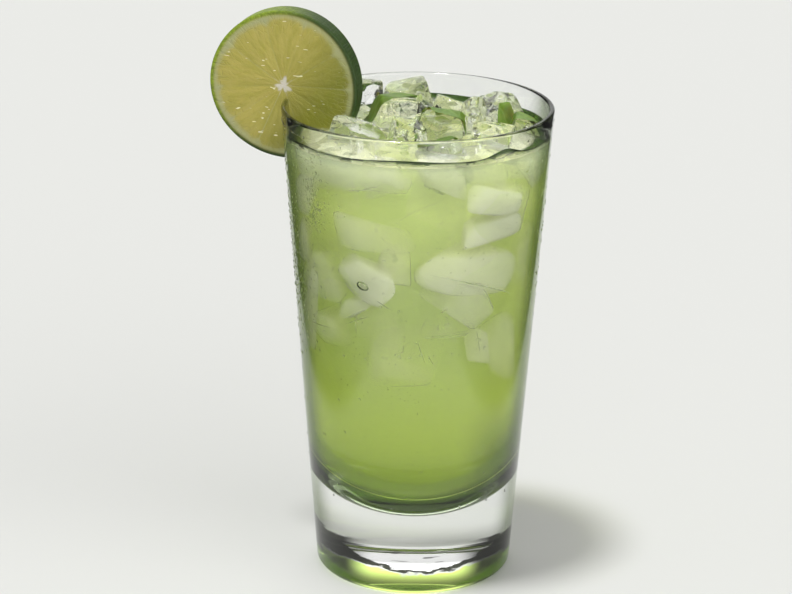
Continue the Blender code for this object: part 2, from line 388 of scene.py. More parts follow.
# %% Floor, room and lamp
FLOOR_COLOUR = (0.675, 0.679, 0.660)
FLOOR_PAST_PICTURE = (0.05, 0.05, 0.05)
PICTURE_HALF_WIDTH = 0.133
PICTURE_SPREAD = 0.152
PICTURE_START = (-0.25, 0.0)
FLOOR_FADE = (0.0, 0.02)
FLOOR_SIDE = 4.0
ROOM_COLOUR = (1.0, 1.0, 0.985)
ROOM_BEHIND = 2.2
ROOM_LOW_BEHIND = 0.8
ROOM_IN_FRONT = (0.30, 2.45)
ROOM_ABOVE = 0.28
ROOM_SIDES = 0.04
LEFT_TO_RIGHT = (-0.5, 0.7)
FRONT_TO_BACK = (-0.4, 0.3)
WALL_START = (0.36, 0.50)
SIDE_START = (0.24, 0.50)
SIDE_DEPTH = (-0.35, 0.05)
CEILING_START = (0.60, 0.90)
LAMP_STRENGTH = 2.0
LAMP_SOFTNESS = 9
LAMP_TILT = (7.0, -11.5)


def make_floor():
    """A wide square, pale where the picture shows it and dark past the picture's sides."""
    mesh = bpy.data.meshes.new("floor")
    corners = [(FLOOR_SIDE * x, FLOOR_SIDE * y, 0) for x, y in ((-1, -1), (1, -1), (1, 1), (-1, 1))]
    mesh.from_pydata(corners, [], [(0, 1, 2, 3)])
    material, tree, shader = new_material("pale_floor", (("Roughness", 0.9), ("Specular IOR Level", 0.0)))
    _, x, y, _ = object_place(tree)
    half = math_node(tree, "MULTIPLY_ADD", y, PICTURE_SPREAD, PICTURE_HALF_WIDTH)
    past = math_node(tree, "SUBTRACT", math_node(tree, "ABSOLUTE", x), half)
    share = product(tree, ramp(tree, past, FLOOR_FADE), ramp(tree, y, PICTURE_START))
    feed(tree, shader.inputs["Base Color"], mix_colour(tree, share, FLOOR_COLOUR, FLOOR_PAST_PICTURE))
    mesh.materials.append(material)
    floor = bpy.data.objects.new("floor", mesh)
    bpy.context.scene.collection.objects.link(floor)
    floor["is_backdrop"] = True


def between(tree, share, first, second):
    """A number between two others, where each of the three is a value or another node's output."""
    return math_node(tree, "MULTIPLY_ADD", math_node(tree, "SUBTRACT", second, first), share, first)


def make_room():
    """A world: bright behind the drink, duller above and in front, and dark behind it on both sides."""
    world = bpy.data.worlds.new("room")
    bpy.context.scene.world = world
    world.use_nodes = True
    tree = world.node_tree
    x, y, z = split(tree, add_node(tree, "TexCoord").outputs["Generated"])
    front = ramp(tree, x, LEFT_TO_RIGHT, *ROOM_IN_FRONT)
    wall = ramp(tree, z, WALL_START, ROOM_LOW_BEHIND, ROOM_BEHIND)
    along = between(tree, ramp(tree, y, FRONT_TO_BACK), front, wall)
    dark = product(tree, ramp(tree, math_node(tree, "ABSOLUTE", x), SIDE_START), ramp(tree, y, SIDE_DEPTH))
    around = between(tree, dark, along, ROOM_SIDES)
    strength = between(tree, ramp(tree, z, CEILING_START), around, ROOM_ABOVE)
    background = tree.nodes["Background"]
    feed(tree, background.inputs["Strength"], strength)
    feed(tree, background.inputs["Color"], ROOM_COLOUR)


def make_lamp():
    """A sun with a wide disc, which gives a soft shadow."""
    data = bpy.data.lights.new("high_left", "SUN")
    data.energy = LAMP_STRENGTH
    data.angle = math.radians(LAMP_SOFTNESS)
    made = bpy.data.objects.new("high_left", data)
    bpy.context.scene.collection.objects.link(made)
    made.rotation_euler = (math.radians(LAMP_TILT[0]), math.radians(LAMP_TILT[1]), 0)


make_floor()
make_room()
make_lamp()
bpy.context.scene.view_settings.view_transform = "Standard"
cycles = bpy.context.scene.cycles
cycles.max_bounces = 32
cycles.transmission_bounces = 24
cycles.volume_bounces = 24
cycles.transparent_max_bounces = 64
print("lamp", LAMP_STRENGTH, "from", LAMP_TILT, "degrees off upright")

# %% [markdown]
# Glass bends light, and Cycles finds it hard to carry a lamp's light through it. So each clear material
# here is glass to the eye and plain tinted air to a shadow ray: the lamp's light goes straight through.
# A cloudy material has an inside too: pulp scatters the light, and juice takes some colours out of it.

# %% Clear materials


def clear_material(name, colour, ior):
    """Glass for every ray but a shadow ray, which passes straight through."""
    values = (("Base Color", colour), ("Roughness", 0.0), ("IOR", ior), ("Transmission Weight", 1.0))
    material, tree, shader = new_material(name, values)
    passing = add_node(tree, "BsdfTransparent", (("Color", (1, 1, 1)),))
    shadow = add_node(tree, "LightPath").outputs["Is Shadow Ray"]
    mix = add_node(tree, "MixShader", ((0, shadow), (1, shader.outputs[0]), (2, passing.outputs[0])))
    feed(tree, tree.nodes["Material Output"].inputs["Surface"], mix.outputs[0])
    return material


def fill_inside(material, pulp, pulp_density, juice, juice_density):
    """Fills a material's inside with pulp that scatters light and juice that takes some colours out."""
    tree = material.node_tree
    haze = add_node(tree, "VolumeScatter", (("Color", pulp), ("Density", pulp_density)))
    stain = add_node(tree, "VolumeAbsorption", (("Color", juice), ("Density", juice_density)))
    both = add_node(tree, "AddShader", ((0, haze.outputs[0]), (1, stain.outputs[0])))
    feed(tree, tree.nodes["Material Output"].inputs["Volume"], both.outputs[0])


WATER_IOR = 1.33
water_material = clear_material("dew", (1.0, 1.0, 1.0), WATER_IOR)
print("water bends light by", WATER_IOR)

# %% [markdown]
# The deep base of the real glass works as a lens and a mirror. In its front one sees a picture of the drink:
# a white oval with a dark, ragged lower edge, dark corners at both sides, and green below. A lathe shape
# alone gives the oval, but not the rest. So the front half of the base gets the picture as a tint
# in the glass. The tint follows the place on the object, so it stays put when the glass is turned. Its edges
# are curves of how far to the side a point is, moved in and out by noise.

# %% The tint of the glass
GLASS_CLEAR = (0.985, 0.995, 0.99)
# greener glass edge with painted shade
GLASS_EDGE_TINT_AND_SHADE = (0.24, 0.29, 0.19)
GLASS_IOR = 1.50
EDGE_SPAN = (0.44, 0.72)
BASE_DARK = (0.001, 0.0012, 0.0006)
BASE_GREEN = (0.38, 0.62, 0.04)
BASE_DEEP_GREEN = (0.16, 0.30, 0.03)
OVAL_MIDDLE = 1.2
OVAL_REACH = 25.5
OVAL_SLOPE = 0.344
OVAL_SHIFT = 10.7
LOWER_EDGE = (8.9, 10.0)
UPPER_EDGE = (16.5, 2.5)
BAND_WIDTH = (1.0, 4.0)
CORNER_WIDTH = (0.8, 1.6)
RAGGED_SCALE = (150.0, 0.0, 420.0)
RAGGED_DEPTH = 5.0
STREAK_SCALE = (90.0, 0.0, 1500.0)
STREAK_SPAN = (0.61, 0.65)
STREAK_STRENGTH = 0.9


def edge_curve(tree, power, numbers):
    """A height in the middle, and what is added to it in step with a power of the distance to the side."""
    return math_node(tree, "MULTIPLY_ADD", power, numbers[1], numbers[0])


def make_base_picture():
    """A node group: where the mirrored drink is dark, where it is green, and where that green is deep.

    The level is the height, in millimetres, less what the round wall's distance takes off it in the picture.
    The depth is how far a point lies under the oval's lower edge.
    """
    group, place, results = new_group("base_picture", ("Dark", "Green", "Deep"))
    x, y, z = split(group, vector_node(group, "DIVIDE", place, (MM, MM, MM)))
    across = math_node(group, "DIVIDE", math_node(group, "SUBTRACT", x, OVAL_MIDDLE), OVAL_REACH)
    aside = math_node(group, "ABSOLUTE", across)
    square = product(group, across, across)
    level = math_node(group, "ADD", math_node(group, "MULTIPLY_ADD", y, OVAL_SLOPE, OVAL_SHIFT), z)
    ragged = noise(group, place, RAGGED_SCALE, 3).outputs[0]
    wander = math_node(group, "MULTIPLY_ADD", ragged, RAGGED_DEPTH, -RAGGED_DEPTH / 2)
    under = math_node(group, "SUBTRACT", edge_curve(group, square, LOWER_EDGE), level)
    depth = math_node(group, "ADD", under, wander)
    width = edge_curve(group, product(group, square, aside), BAND_WIDTH)
    past_band = math_node(group, "SUBTRACT", depth, width)
    band = product(group, ramp(group, depth, (-0.3, 0.3)), ramp(group, past_band, (0, 1), 1, 0))
    off_edge = math_node(group, "SUBTRACT", level, edge_curve(group, square, UPPER_EDGE))
    off_edge = math_node(group, "MULTIPLY_ADD", wander, 0.5, math_node(group, "ABSOLUTE", off_edge))
    corner = product(group, ramp(group, off_edge, CORNER_WIDTH, 1, 0), ramp(group, aside, (0.5, 0.9)))
    streaks = ramp(group, noise(group, place, STREAK_SCALE, 1).outputs[0], STREAK_SPAN)
    inside = ramp(group, depth, (-2.0, -1.0), STREAK_STRENGTH, 0)
    inside = product(group, inside, ramp(group, level, (15, 16), 1, 0), ramp(group, aside, (0.6, 0.8), 1, 0))
    dark = math_node(group, "MAXIMUM", band, corner)
    feed(group, results["Dark"], math_node(group, "MAXIMUM", dark, product(group, streaks, inside)))
    feed(group, results["Green"], ramp(group, past_band, (0, 1)))
    feed(group, results["Deep"], ramp(group, aside, (0.3, 0.95)))
    return group


def glass_tint(material):
    """Glass seen edge on is greener and painted darker as shade, and the front of the base holds a painted
    reflection of the drink.
    """
    tree = material.node_tree
    place, _, y, _ = object_place(tree)
    # painted shade: glass seen edge on is tinted darker and greener
    tint = mix_colour(tree, ramp(tree, facing_away(tree), EDGE_SPAN), GLASS_CLEAR, GLASS_EDGE_TINT_AND_SHADE)
    picture = use_group(tree, make_base_picture(), place)
    green = mix_colour(tree, picture["Deep"], BASE_GREEN, BASE_DEEP_GREEN)
    front = math_node(tree, "LESS_THAN", y, 0.0)
    tint = mix_colour(tree, product(tree, picture["Green"], front), tint, green)
    tint = mix_colour(tree, product(tree, picture["Dark"], front), tint, BASE_DARK)
    feed(tree, tree.nodes["Principled BSDF"].inputs["Base Color"], tint)


glass_material = clear_material("clear_glass", GLASS_CLEAR, GLASS_IOR)
glass_tint(glass_material)
print("glass bends light by", GLASS_IOR)

# %% [markdown]
# The tumbler is one piece of pressed glass: thin at the rim, a little thicker further down, with a deep
# solid base under a bowl-shaped floor. The underside is hollowed like a shallow dish, so the glass stands on
# a ring, and light is bent and mirrored in the base. A lathe profile carried round the axis gives all of it
# at once.

# %% The tumbler
GLASS_HEIGHT = 150.0
RIM_RADIUS = 41.7
FOOT_RADIUS = 30.8
WALL_AT_RIM = 1.6
WALL_AT_FOOT = 2.7
FLOOR_HEIGHT = 21.1
BOWL_DEPTH = 30.0
FOOT_CORNER = 2.6
DISH_RADIUS = 27.0
DISH_DEPTH = 3.0
GLASS_COLUMNS = 256


def outer_radius(height):
    """The outer wall flares in a straight line from the foot to the rim."""
    return FOOT_RADIUS + (RIM_RADIUS - FOOT_RADIUS) * height / GLASS_HEIGHT


def inner_radius(height):
    """The outer wall less the glass, which thins towards the rim."""
    return outer_radius(height) - WALL_AT_FOOT + (WALL_AT_FOOT - WALL_AT_RIM) * height / GLASS_HEIGHT


def wall_corner(radius_at, floor, corner, steps):
    """A quarter of a circle from a level floor up to a flared wall."""
    slope = radius_at(1.0) - radius_at(0.0)
    angle = np.linspace(-np.pi / 2, -math.atan(slope), steps)
    height = floor + corner
    radius = radius_at(height) - corner * math.hypot(1, slope)
    return np.stack([radius + corner * np.cos(angle), height + corner * np.sin(angle)], -1)


def bowl(radius_at, floor, depth, steps):
    """A quarter of an oval from the middle of the floor up to where it meets the flared wall smoothly."""
    slope = radius_at(1.0) - radius_at(0.0)
    width = math.sqrt(radius_at(floor + depth) ** 2 - (slope * depth) ** 2)
    angle = np.linspace(-np.pi / 2, -math.atan(slope * depth / width), steps)
    return np.stack([width * np.cos(angle), floor + depth + depth * np.sin(angle)], -1)[1:]


def straight(start, end, steps):
    """Points between two ends, without the ends themselves."""
    return np.linspace(start, end, steps + 2)[1:-1]


def glass_profile():
    """From the floor's middle up the inner wall, over the rounded lip, down the outer wall and under."""
    floor = bowl(inner_radius, FLOOR_HEIGHT, BOWL_DEPTH, 48)
    inner, outer = inner_radius(GLASS_HEIGHT), outer_radius(GLASS_HEIGHT)
    turn = np.linspace(np.pi, 0, 13)
    half = (outer - inner) / 2
    lip = np.stack([inner + half + half * np.cos(turn), GLASS_HEIGHT - half + half * np.sin(turn)], -1)
    foot = wall_corner(outer_radius, 0.0, FOOT_CORNER, 10)[::-1]
    across = np.linspace(DISH_RADIUS, 0, 40)[:, None]
    dish = np.hstack([across, DISH_DEPTH * (1 - (across / DISH_RADIUS) ** 2)])
    middle = [(0.0, FLOOR_HEIGHT)]
    inside = [middle, floor, straight(floor[-1], lip[0], 30)]
    outside = [lip, straight(lip[-1], foot[0], 30), foot, dish]
    return np.vstack(inside + outside)


glass_mesh = skin("tumbler", [turned(glass_profile(), GLASS_COLUMNS)])
show("tumbler", glass_mesh, glass_material, "glass")
print("tumbler", len(glass_mesh.polygons), "faces")

# %% [markdown]
# A block of ice that has begun to melt is a box with chipped corners and softened edges. Each flat side is
# a plane at some distance from the block's middle. If the planes alone made the block, its edges would be
# knife sharp. So the planes are added up as a high power of how near each one is, which rounds every edge
# a little. Ice that touches the glass lies flat against it.

# %% Blocks of ice
ICE_ROWS = 40
ICE_COLUMNS = 64
ICE_TO_WALL = 0.35
DRINK_LEVEL = 141.8
SOFT_EDGES = 16.0
BOX_WANDER = 0.10
CHIP_CUT = (0.66, 0.84)


def ice_planes(centre, size, degrees, seed, chips=5, wander=BOX_WANDER, cut=CHIP_CUT):
    """The directions and distances of a block's sides: six of a wandering box, and some chipped corners."""
    draw = np.random.default_rng(seed)
    half = np.array(size) / 2
    sides = np.vstack([np.eye(3), -np.eye(3)]) + draw.normal(0, wander, (6, 3))
    corner = draw.choice([-1, 1], (chips, 3)) * draw.uniform(0.35, 1.0, (chips, 3))
    corner /= np.linalg.norm(corner, axis=1, keepdims=True)
    sides /= np.linalg.norm(sides, axis=1, keepdims=True)
    reach = np.concatenate([half, half]) * draw.uniform(0.92, 1.0, 6)
    chipped = np.abs(corner * half).sum(1) * draw.uniform(*cut, chips)
    normals = np.vstack([sides, corner]) @ turn_matrix(degrees).T
    return np.array(centre), normals, np.concatenate([reach, chipped])


def ice_rings(planes, crisp=SOFT_EDGES, shrink=0.0, ceiling=None):
    """The block's surface in every direction from its middle.

    The distance is one over the root of the summed powers of each plane's nearness. The root and the power
    are the same number: the higher it is, the crisper the edges.
    """
    centre, normals, reach = planes
    look = globe(ICE_ROWS, ICE_COLUMNS)
    near = np.maximum(look @ normals.T, 0) / reach
    distance = (near**crisp).sum(-1) ** (-1 / crisp)
    swirl = look * 7 + centre
    ripple = 0.010 * np.sin(swirl[..., 0] + 2 * np.sin(swirl[..., 1])) * np.sin(swirl[..., 2] * 1.3)
    points = look * (distance * (1 + ripple) - shrink)[..., None] + centre
    limit = inner_radius(points[..., 2]) - ICE_TO_WALL - shrink
    points[..., :2] *= np.minimum(1, limit / np.hypot(points[..., 0], points[..., 1]))[..., None]
    if ceiling is not None:
        points[..., 2] = np.minimum(points[..., 2], ceiling - shrink)
    return points


def ice_top(planes, x, y):
    """The height of a block over a place: the lowest of its upward sides, or far below where it has none."""
    centre, normals, reach = planes
    away = normals[:, 0] * (x[..., None] - centre[0]) + normals[:, 1] * (y[..., None] - centre[1])
    up = normals[:, 2] > 0.05
    top = ((reach - away) / np.where(up, normals[:, 2], np.inf))[..., up].min(-1)
    down = normals[:, 2] < -0.05
    bottom = ((reach - away) / normals[:, 2])[..., down].max(-1)
    beside = ((reach - away)[..., ~up & ~down] < 0).any(-1)
    return np.where((top > bottom) & ~beside, top + centre[2], -1e3)


CRACK_RADII = np.array([1.9, 1.3, 0.05])
POCKET_RADIUS = 0.16
POCKET_TO_WALL = 3.0


def air_pockets(planes, seed, count, size):
    """Small bubbles frozen into a block, every third one a flat crack. None lies close to the glass."""
    centre, _, reach = planes
    draw = np.random.default_rng(seed)
    pockets = []
    for number in range(count):
        place = centre + draw.uniform(-0.5, 0.5, 3) * reach[:3]
        flat = number % 3 == 0
        radii = CRACK_RADII * (size, size, 1) if flat else (POCKET_RADIUS * size,) * 3
        degrees = draw.uniform(0, 180, 3)
        if math.hypot(place[0], place[1]) < inner_radius(place[2]) - POCKET_TO_WALL:
            pockets.append(ball(place, radii, degrees, 7, 12)[::-1])
    return pockets


print("a block is drawn with", ICE_ROWS, "rows of", ICE_COLUMNS, "points")

# %% [markdown]
# Thirteen blocks stand out of the drink, each in the place of a solid block. They are clear, with a few
# cracks and bubbles that catch the light. Melting leaves shallow facets on ice. A relief of random cells
# gives them: each cell's height grows with how far a point is from the cell's middle in a random direction.

# %% Ice above the drink
ICE = (
    ("ice_back", (-3.0, 25.5, 144.6), (14.5, 11.0, 11.5), (10, -9, 14)),
    ("ice_behind_lime", (-18.5, 21.0, 145.0), (12.5, 12.0, 14.5), (6, 10, 28)),
    ("ice_under_mint", (-6.4, 10.0, 142.7), (15.0, 13.0, 13.5), (-6, 8, 12)),
    ("ice_left", (-18.6, -8.0, 140.2), (18.0, 13.0, 11.5), (8, 9, -14)),
    ("ice_front", (-3.4, -14.5, 143.2), (9.0, 9.0, 12.0), (18, 14, 36)),
    ("ice_middle", (7.4, -3.5, 142.0), (13.0, 12.0, 12.0), (4, -7, 16)),
    ("ice_upright", (16.8, 2.0, 145.2), (6.2, 7.5, 14.0), (3, 9, 18)),
    ("ice_slab", (23.2, -10.0, 142.2), (12.5, 11.0, 10.0), (-14, 10, -24)),
    ("ice_right", (25.4, 12.2, 143.5), (10.0, 10.5, 12.5), (14, -10, 36)),
    ("ice_wall", (32.6, -2.0, 140.8), (8.0, 10.5, 11.0), (8, 6, 8)),
    ("ice_far_right", (11.8, 19.0, 140.8), (14.5, 12.5, 11.5), (-7, 8, -14)),
    ("ice_far_wall", (21.5, 26.8, 140.2), (9.0, 8.0, 10.0), (9, 12, 40)),
    ("ice_low", (8.0, -21.8, 138.0), (12.5, 10.5, 10.5), (12, -16, 24)),
)
FACET_SCALE = 260.0
FACET_TILT = 0.010
ICE_FACETS = 0.26
ICE_IOR = 1.31
ICE_CRISP = 30.0
ICE_SEEDS = 50
ICE_CHIPS = 12
POCKET_SEEDS = 80
POCKETS = 9


def make_facets():
    """A node group: a relief of flat facets, each tilted at random round the middle of its cell."""
    group, place, results = new_group("facets", ("Height",))
    spread_out = vector_node(group, "MULTIPLY", place, (FACET_SCALE,) * 3)
    cells = add_node(group, "TexVoronoi", (("Vector", spread_out), ("Scale", 1.0)))
    away = vector_node(group, "SUBTRACT", spread_out, cells.outputs["Position"])
    tilt = vector_node(group, "SUBTRACT", cells.outputs["Color"], (0.5, 0.5, 0.5))
    feed(group, results["Height"], vector_node(group, "DOT_PRODUCT", away, tilt, "Value"))
    return group


def add_facets(material, strength):
    """Gives a material the facets' relief, with a strength that is a number or another node's output."""
    tree = material.node_tree
    height = use_group(tree, facets, object_place(tree)[0])["Height"]
    set_relief(tree, height, strength, FACET_TILT)


facets = make_facets()
clear_ice = clear_material("clear_ice", (0.99, 0.985, 1.0), ICE_IOR)
add_facets(clear_ice, ICE_FACETS)
ice_shapes = {}
for number, (name, *row) in enumerate(ICE):
    ice_shapes[name] = ice_planes(*row, ICE_SEEDS + number, ICE_CHIPS)
for number, (name, planes) in enumerate(ice_shapes.items()):
    pockets = air_pockets(planes, POCKET_SEEDS + number, POCKETS, 1.0)
    mesh = skin("clear_" + name, [ice_rings(planes, ICE_CRISP)] + pockets)
    show("clear_" + name, mesh, clear_ice, name)
print(len(ice_shapes), "blocks stand out of the drink")

# %% [markdown]
# Below the surface there is more ice, and it shows as pale, soft shapes through the cloudy green. No solid
# stands for it, because it lies wholly inside the drink. Ice bends light almost as the drink does, so its
# sides are hardly seen, and what shows is the milk that froze into it. So a sunk block is a skin that bends
# light only a trace, with a haze inside. Some blocks are whiter than others. Under the surface a floe of
# small pieces lies close together, and makes the top of the drink pale.

# %% Ice below the surface
BRIGHT, WHITE, PALE, FAINT = 620, 370, 195, 75
SUNK_ICE = (
    ((-22.0, -25.0, 138.0), (34, 18, 9), (3, 2, -30), PALE),
    ((-9.5, -30.0, 136.5), (11, 8, 7), (5, -6, 10), WHITE),
    ((6.8, -29.5, 137.5), (15, 9, 9), (-4, 22, 6), WHITE),
    ((-31.0, -15.0, 126.0), (7, 13, 15), (4, 3, -12), WHITE),
    ((-13.0, -28.5, 118.5), (25, 10, 9), (4, 33, -6), PALE),
    ((-6.5, -28.0, 110.0), (8, 9, 12), (0, 16, 8), WHITE),
    ((-15.0, -30.5, 105.5), (22, 9, 9.5), (4, 38, -24), BRIGHT),
    ((-25.5, -20.0, 103.5), (12, 12, 14), (6, -6, -22), PALE),
    ((-17.5, -29.5, 95.5), (12, 7, 4.6), (8, -22, -6), WHITE),
    ((-24.0, -20.0, 86.0), (12, 12, 9.5), (6, 8, -22), PALE),
    ((-11.0, -24.0, 89.5), (15, 10, 9), (10, 20, 12), FAINT),
    ((-3.5, -24.0, 79.0), (20, 14, 21), (8, -14, 10), FAINT),
    ((22.0, -24.5, 128.0), (18, 17, 8), (4, 9, 14), BRIGHT),
    ((22.0, -24.5, 119.5), (20, 17, 8), (-4, -9, 12), BRIGHT),
    ((25.0, -21.0, 124.5), (13, 12, 17), (8, 8, 20), FAINT),
    ((15.0, -26.5, 107.0), (34, 14, 14), (12, 9, 14), WHITE),
    ((12.5, -28.0, 97.0), (25, 11, 10), (-10, 9, 6), PALE),
    ((10.5, -25.0, 89.0), (19, 10, 6), (6, -14, 12), FAINT),
    ((24.0, -19.5, 80.0), (11, 12, 25), (6, -7, 16), PALE),
    ((17.5, -24.5, 82.0), (7, 8, 13), (4, -16, 6), WHITE),
    ((33.0, -12.0, 138.0), (12, 13, 11), (4, 28, 12), WHITE),
    ((30.5, -16.0, 108.0), (7, 12, 20), (4, 4, 30), FAINT),
    ((10.0, -10.0, 118.0), (18, 16, 15), (12, 20, 34), FAINT),
    ((-17.0, -4.0, 112.0), (20, 17, 18), (10, 24, 40), PALE),
    ((9.0, 3.0, 99.0), (20, 18, 17), (24, -12, 16), PALE),
    ((-6.0, 12.0, 126.0), (22, 19, 18), (12, 16, -20), PALE),
    ((22.0, 10.0, 120.0), (17, 18, 21), (-10, 18, 22), PALE),
    ((-21.0, 16.0, 98.0), (19, 17, 19), (14, -8, 30), PALE),
    ((4.0, 22.0, 106.0), (23, 17, 19), (6, 20, 12), PALE),
    ((25.0, 4.0, 90.0), (15, 17, 19), (16, 6, -20), PALE),
    ((-30.0, -14.0, 90.0), (6, 13, 30), (0, 5, -24), WHITE),
    ((-31.5, -14.0, 112.0), (5, 12, 14), (0, 4, -24), WHITE),
)
SHARD_SEEDS = 11
SHARD_CHIPS = 9
SHARD_WANDER = 0.22
SHARD_CUT = (0.50, 0.78)
CEILING = DRINK_LEVEL - 0.6
FLOE_RINGS = ((7.5, 3), (18.5, 8), (29.0, 13))
FLOE_HEIGHT = 137.0
FLOE_SIZE = (9, 9, 5), (14, 12, 8)
FLOE_SEEDS = 400
FLOE_CRISP = 11.0
MILK = (0.996, 1.0, 0.985)
TRACE_IOR = 1.02


def haze_ice(name, density):
    """A skin that bends light a trace, with a white haze inside."""
    material = clear_material(name, (1.0, 1.0, 1.0), TRACE_IOR)
    fill_inside(material, MILK, density, (1, 1, 1), 0)
    return material


def floe():
    """Small blocks in rings just under the surface, each a little out of its place, size and level."""
    draw = np.random.default_rng(23)
    for radius, count in FLOE_RINGS:
        for step in range(count):
            angle = 2 * np.pi * (step + 0.3 * draw.random()) / count
            reach = radius + draw.uniform(-1.5, 1.5)
            height = FLOE_HEIGHT + draw.uniform(-1.5, 1.0)
            centre = (reach * math.cos(angle), reach * math.sin(angle), height)
            size = draw.uniform(*FLOE_SIZE)
            yield ice_planes(centre, size, draw.uniform(-25, 25, 3), FLOE_SEEDS + step)


haze_names = {BRIGHT: "bright_ice", WHITE: "white_ice", PALE: "pale_ice", FAINT: "faint_ice"}
haze_materials = {density: haze_ice(name, density) for density, name in haze_names.items()}
sunk_shapes = [
    ice_planes(*row[:3], SHARD_SEEDS + number, SHARD_CHIPS, SHARD_WANDER, SHARD_CUT)
    for number, row in enumerate(SUNK_ICE)
]
for number, (planes, row) in enumerate(zip(sunk_shapes, SUNK_ICE)):
    name = f"sunk_ice_{number + 1}"
    show(name, skin(name, [ice_rings(planes, ceiling=CEILING)]), haze_materials[row[3]])
floe_rings = [ice_rings(planes, FLOE_CRISP, ceiling=CEILING)[::2, ::2] for planes in floe()]
show("floe", skin("floe", floe_rings), haze_materials[PALE])
print(len(sunk_shapes), "sunk blocks, and", len(floe_rings), "pieces in the floe")


# %% [markdown]
# The drink fills the glass up to its level. At the wall it climbs a little, and where ice lies against the
# glass it is drawn up further, so its edge seen through the glass is a wavy line, painted dark as shade. The
# drink reaches a hair's breadth into the glass, so that no thin layer of air is left between them. The ice
# that stands out of it and the slice are cut out of the drink.

# %% The drink's surface and sides
MENISCUS_REACH = 3.2
INTO_WALL = 0.3
CONTACT_RISE = 1.2
CONTACT_WAVES = (
    (-50, 8, 2.3),
    (-96, 17, 0.8),
    (-147, 8, 0.6),
    (20, 20, 0.5),
    (95, 25, 0.6),
    (150, 14, 0.5),
)
SURFACE_RIPPLE = 0.05
# the width of the painted shade line at the wall
LINE_WIDTH = 2.4
FLAT_ROWS = 39
CURVED_ROWS = 16


def contact_height(angle):
    """How high the drink climbs at the wall: one height plus a bell-shaped rise at each touching block."""
    degrees = np.degrees(np.arctan2(np.sin(angle), np.cos(angle)))
    height = DRINK_LEVEL + CONTACT_RISE + 0 * angle
    for middle, width, rise in CONTACT_WAVES:
        height = height + rise * np.exp(-(((degrees - middle) / width) ** 2))
    return height


def drink_side(height):
    """The drink's radius where it lies against the glass: a little more than the inner wall's."""
    return inner_radius(height) + INTO_WALL


def ramp_up(above):
    """From 0 at a line's width under the contact to 1 half that width under it."""
    return np.clip((above + LINE_WIDTH) / LINE_WIDTH * 2, 0, 1)


def drink_rings():
    """From the surface's middle, up the curved edge at the wall, and down inside the glass to the floor.

    The surface is flat but for a faint ripple, and its edge climbs with the third power of the way across.
    The second result is how dark the contact line's painted shade is at each point.
    """
    angle = np.linspace(0, 2 * np.pi, GLASS_COLUMNS, endpoint=False)
    contact = contact_height(angle)
    edge = drink_side(contact)
    flat = np.linspace(0, 1, FLAT_ROWS + 1)[:-1, None] * (edge - MENISCUS_REACH)
    x, y = flat * np.cos(angle), flat * np.sin(angle)
    fade = 1 - (flat / (edge - MENISCUS_REACH)) ** 6
    ripple = SURFACE_RIPPLE * fade * np.sin(0.5 * x + np.sin(0.31 * y)) * np.sin(0.43 * y + 1)
    share = np.linspace(0, 1, CURVED_ROWS)[:, None]
    rim = edge - MENISCUS_REACH * (1 - share)
    rim_height = DRINK_LEVEL + (contact - DRINK_LEVEL) * share**3
    low = bowl(drink_side, FLOOR_HEIGHT - INTO_WALL, BOWL_DEPTH, 48)[::-1]
    fall = np.linspace(0, 1, 50)[1:-1, None]
    fall_height = contact + (low[0, 1] - contact) * fall
    low = np.vstack([low, [(0.0, FLOOR_HEIGHT - INTO_WALL)]])
    whole = np.ones_like(angle)
    dark = [ramp_up(height - contact) for height in (rim_height, fall_height)]
    line = np.vstack([0 * flat, *dark, 0 * low[:, :1] * whole])
    radius = np.vstack([flat, rim, drink_side(fall_height), low[:, :1] * whole])
    height = np.vstack([DRINK_LEVEL + ripple, rim_height, fall_height, low[:, 1:] * whole])
    return np.stack([radius * np.cos(angle), radius * np.sin(angle), height], -1), line


rings, contact_line_shade = drink_rings()
contact_row = rings[FLAT_ROWS + CURVED_ROWS - 1, :, 2]
print("the drink's edge stands between", *np.round([contact_row.min(), contact_row.max()], 1), "mm")

# %% [markdown]
# A block that stands out of the drink is cut out of it a hair smaller than it is. The two surfaces then
# overlap by that hair, and light passes from one to the other without meeting air. For the slice a plain
# rounded disc is cut out, a little smaller too.

# %% Cut the ice and the slice out of the drink
LIME_RADIUS = 23.35
LIME_THICKNESS = 7.2
LIME_TURN = 166.5
LIME_FROM_AXIS = 41.5
LIME_HEIGHT = 154.05
LIME_WAVES = ((2, 0.0109, 0.88), (3, 0.0107, -0.62))
HAIR = 0.05
SLICE_LAP = 0.3


def lime_place(points):
    """Carries points from the slice's own directions (outwards, up, through) to their place on the rim."""
    turn = math.radians(LIME_TURN)
    outwards, up = np.array([math.cos(turn), math.sin(turn), 0]), np.array([0, 0, 1])
    axes = np.stack([outwards, up, np.cross(outwards, up)])
    return points @ axes + outwards * LIME_FROM_AXIS + up * LIME_HEIGHT


def out_of_round(angle):
    """How much wider than a circle the slice is in a direction, measured from outwards towards up."""
    return 1 + sum(size * np.cos(waves * angle - start) for waves, size, start in LIME_WAVES)


def lime_core_rings(radius, half, columns=72):
    """A plain slice: a disc with slightly rounded edges."""
    angle = np.linspace(0, 2 * np.pi, columns, endpoint=False)
    reach = np.array([0, 0.5, 0.97, 1, 1, 0.97, 0.5, 0])[:, None] * radius * out_of_round(angle)
    depth = np.array([1, 1, 1, 0.85, -0.85, -1, -1, -1])[:, None] * half + 0 * angle
    return lime_place(np.stack([reach * np.cos(angle), reach * np.sin(angle), depth], -1))


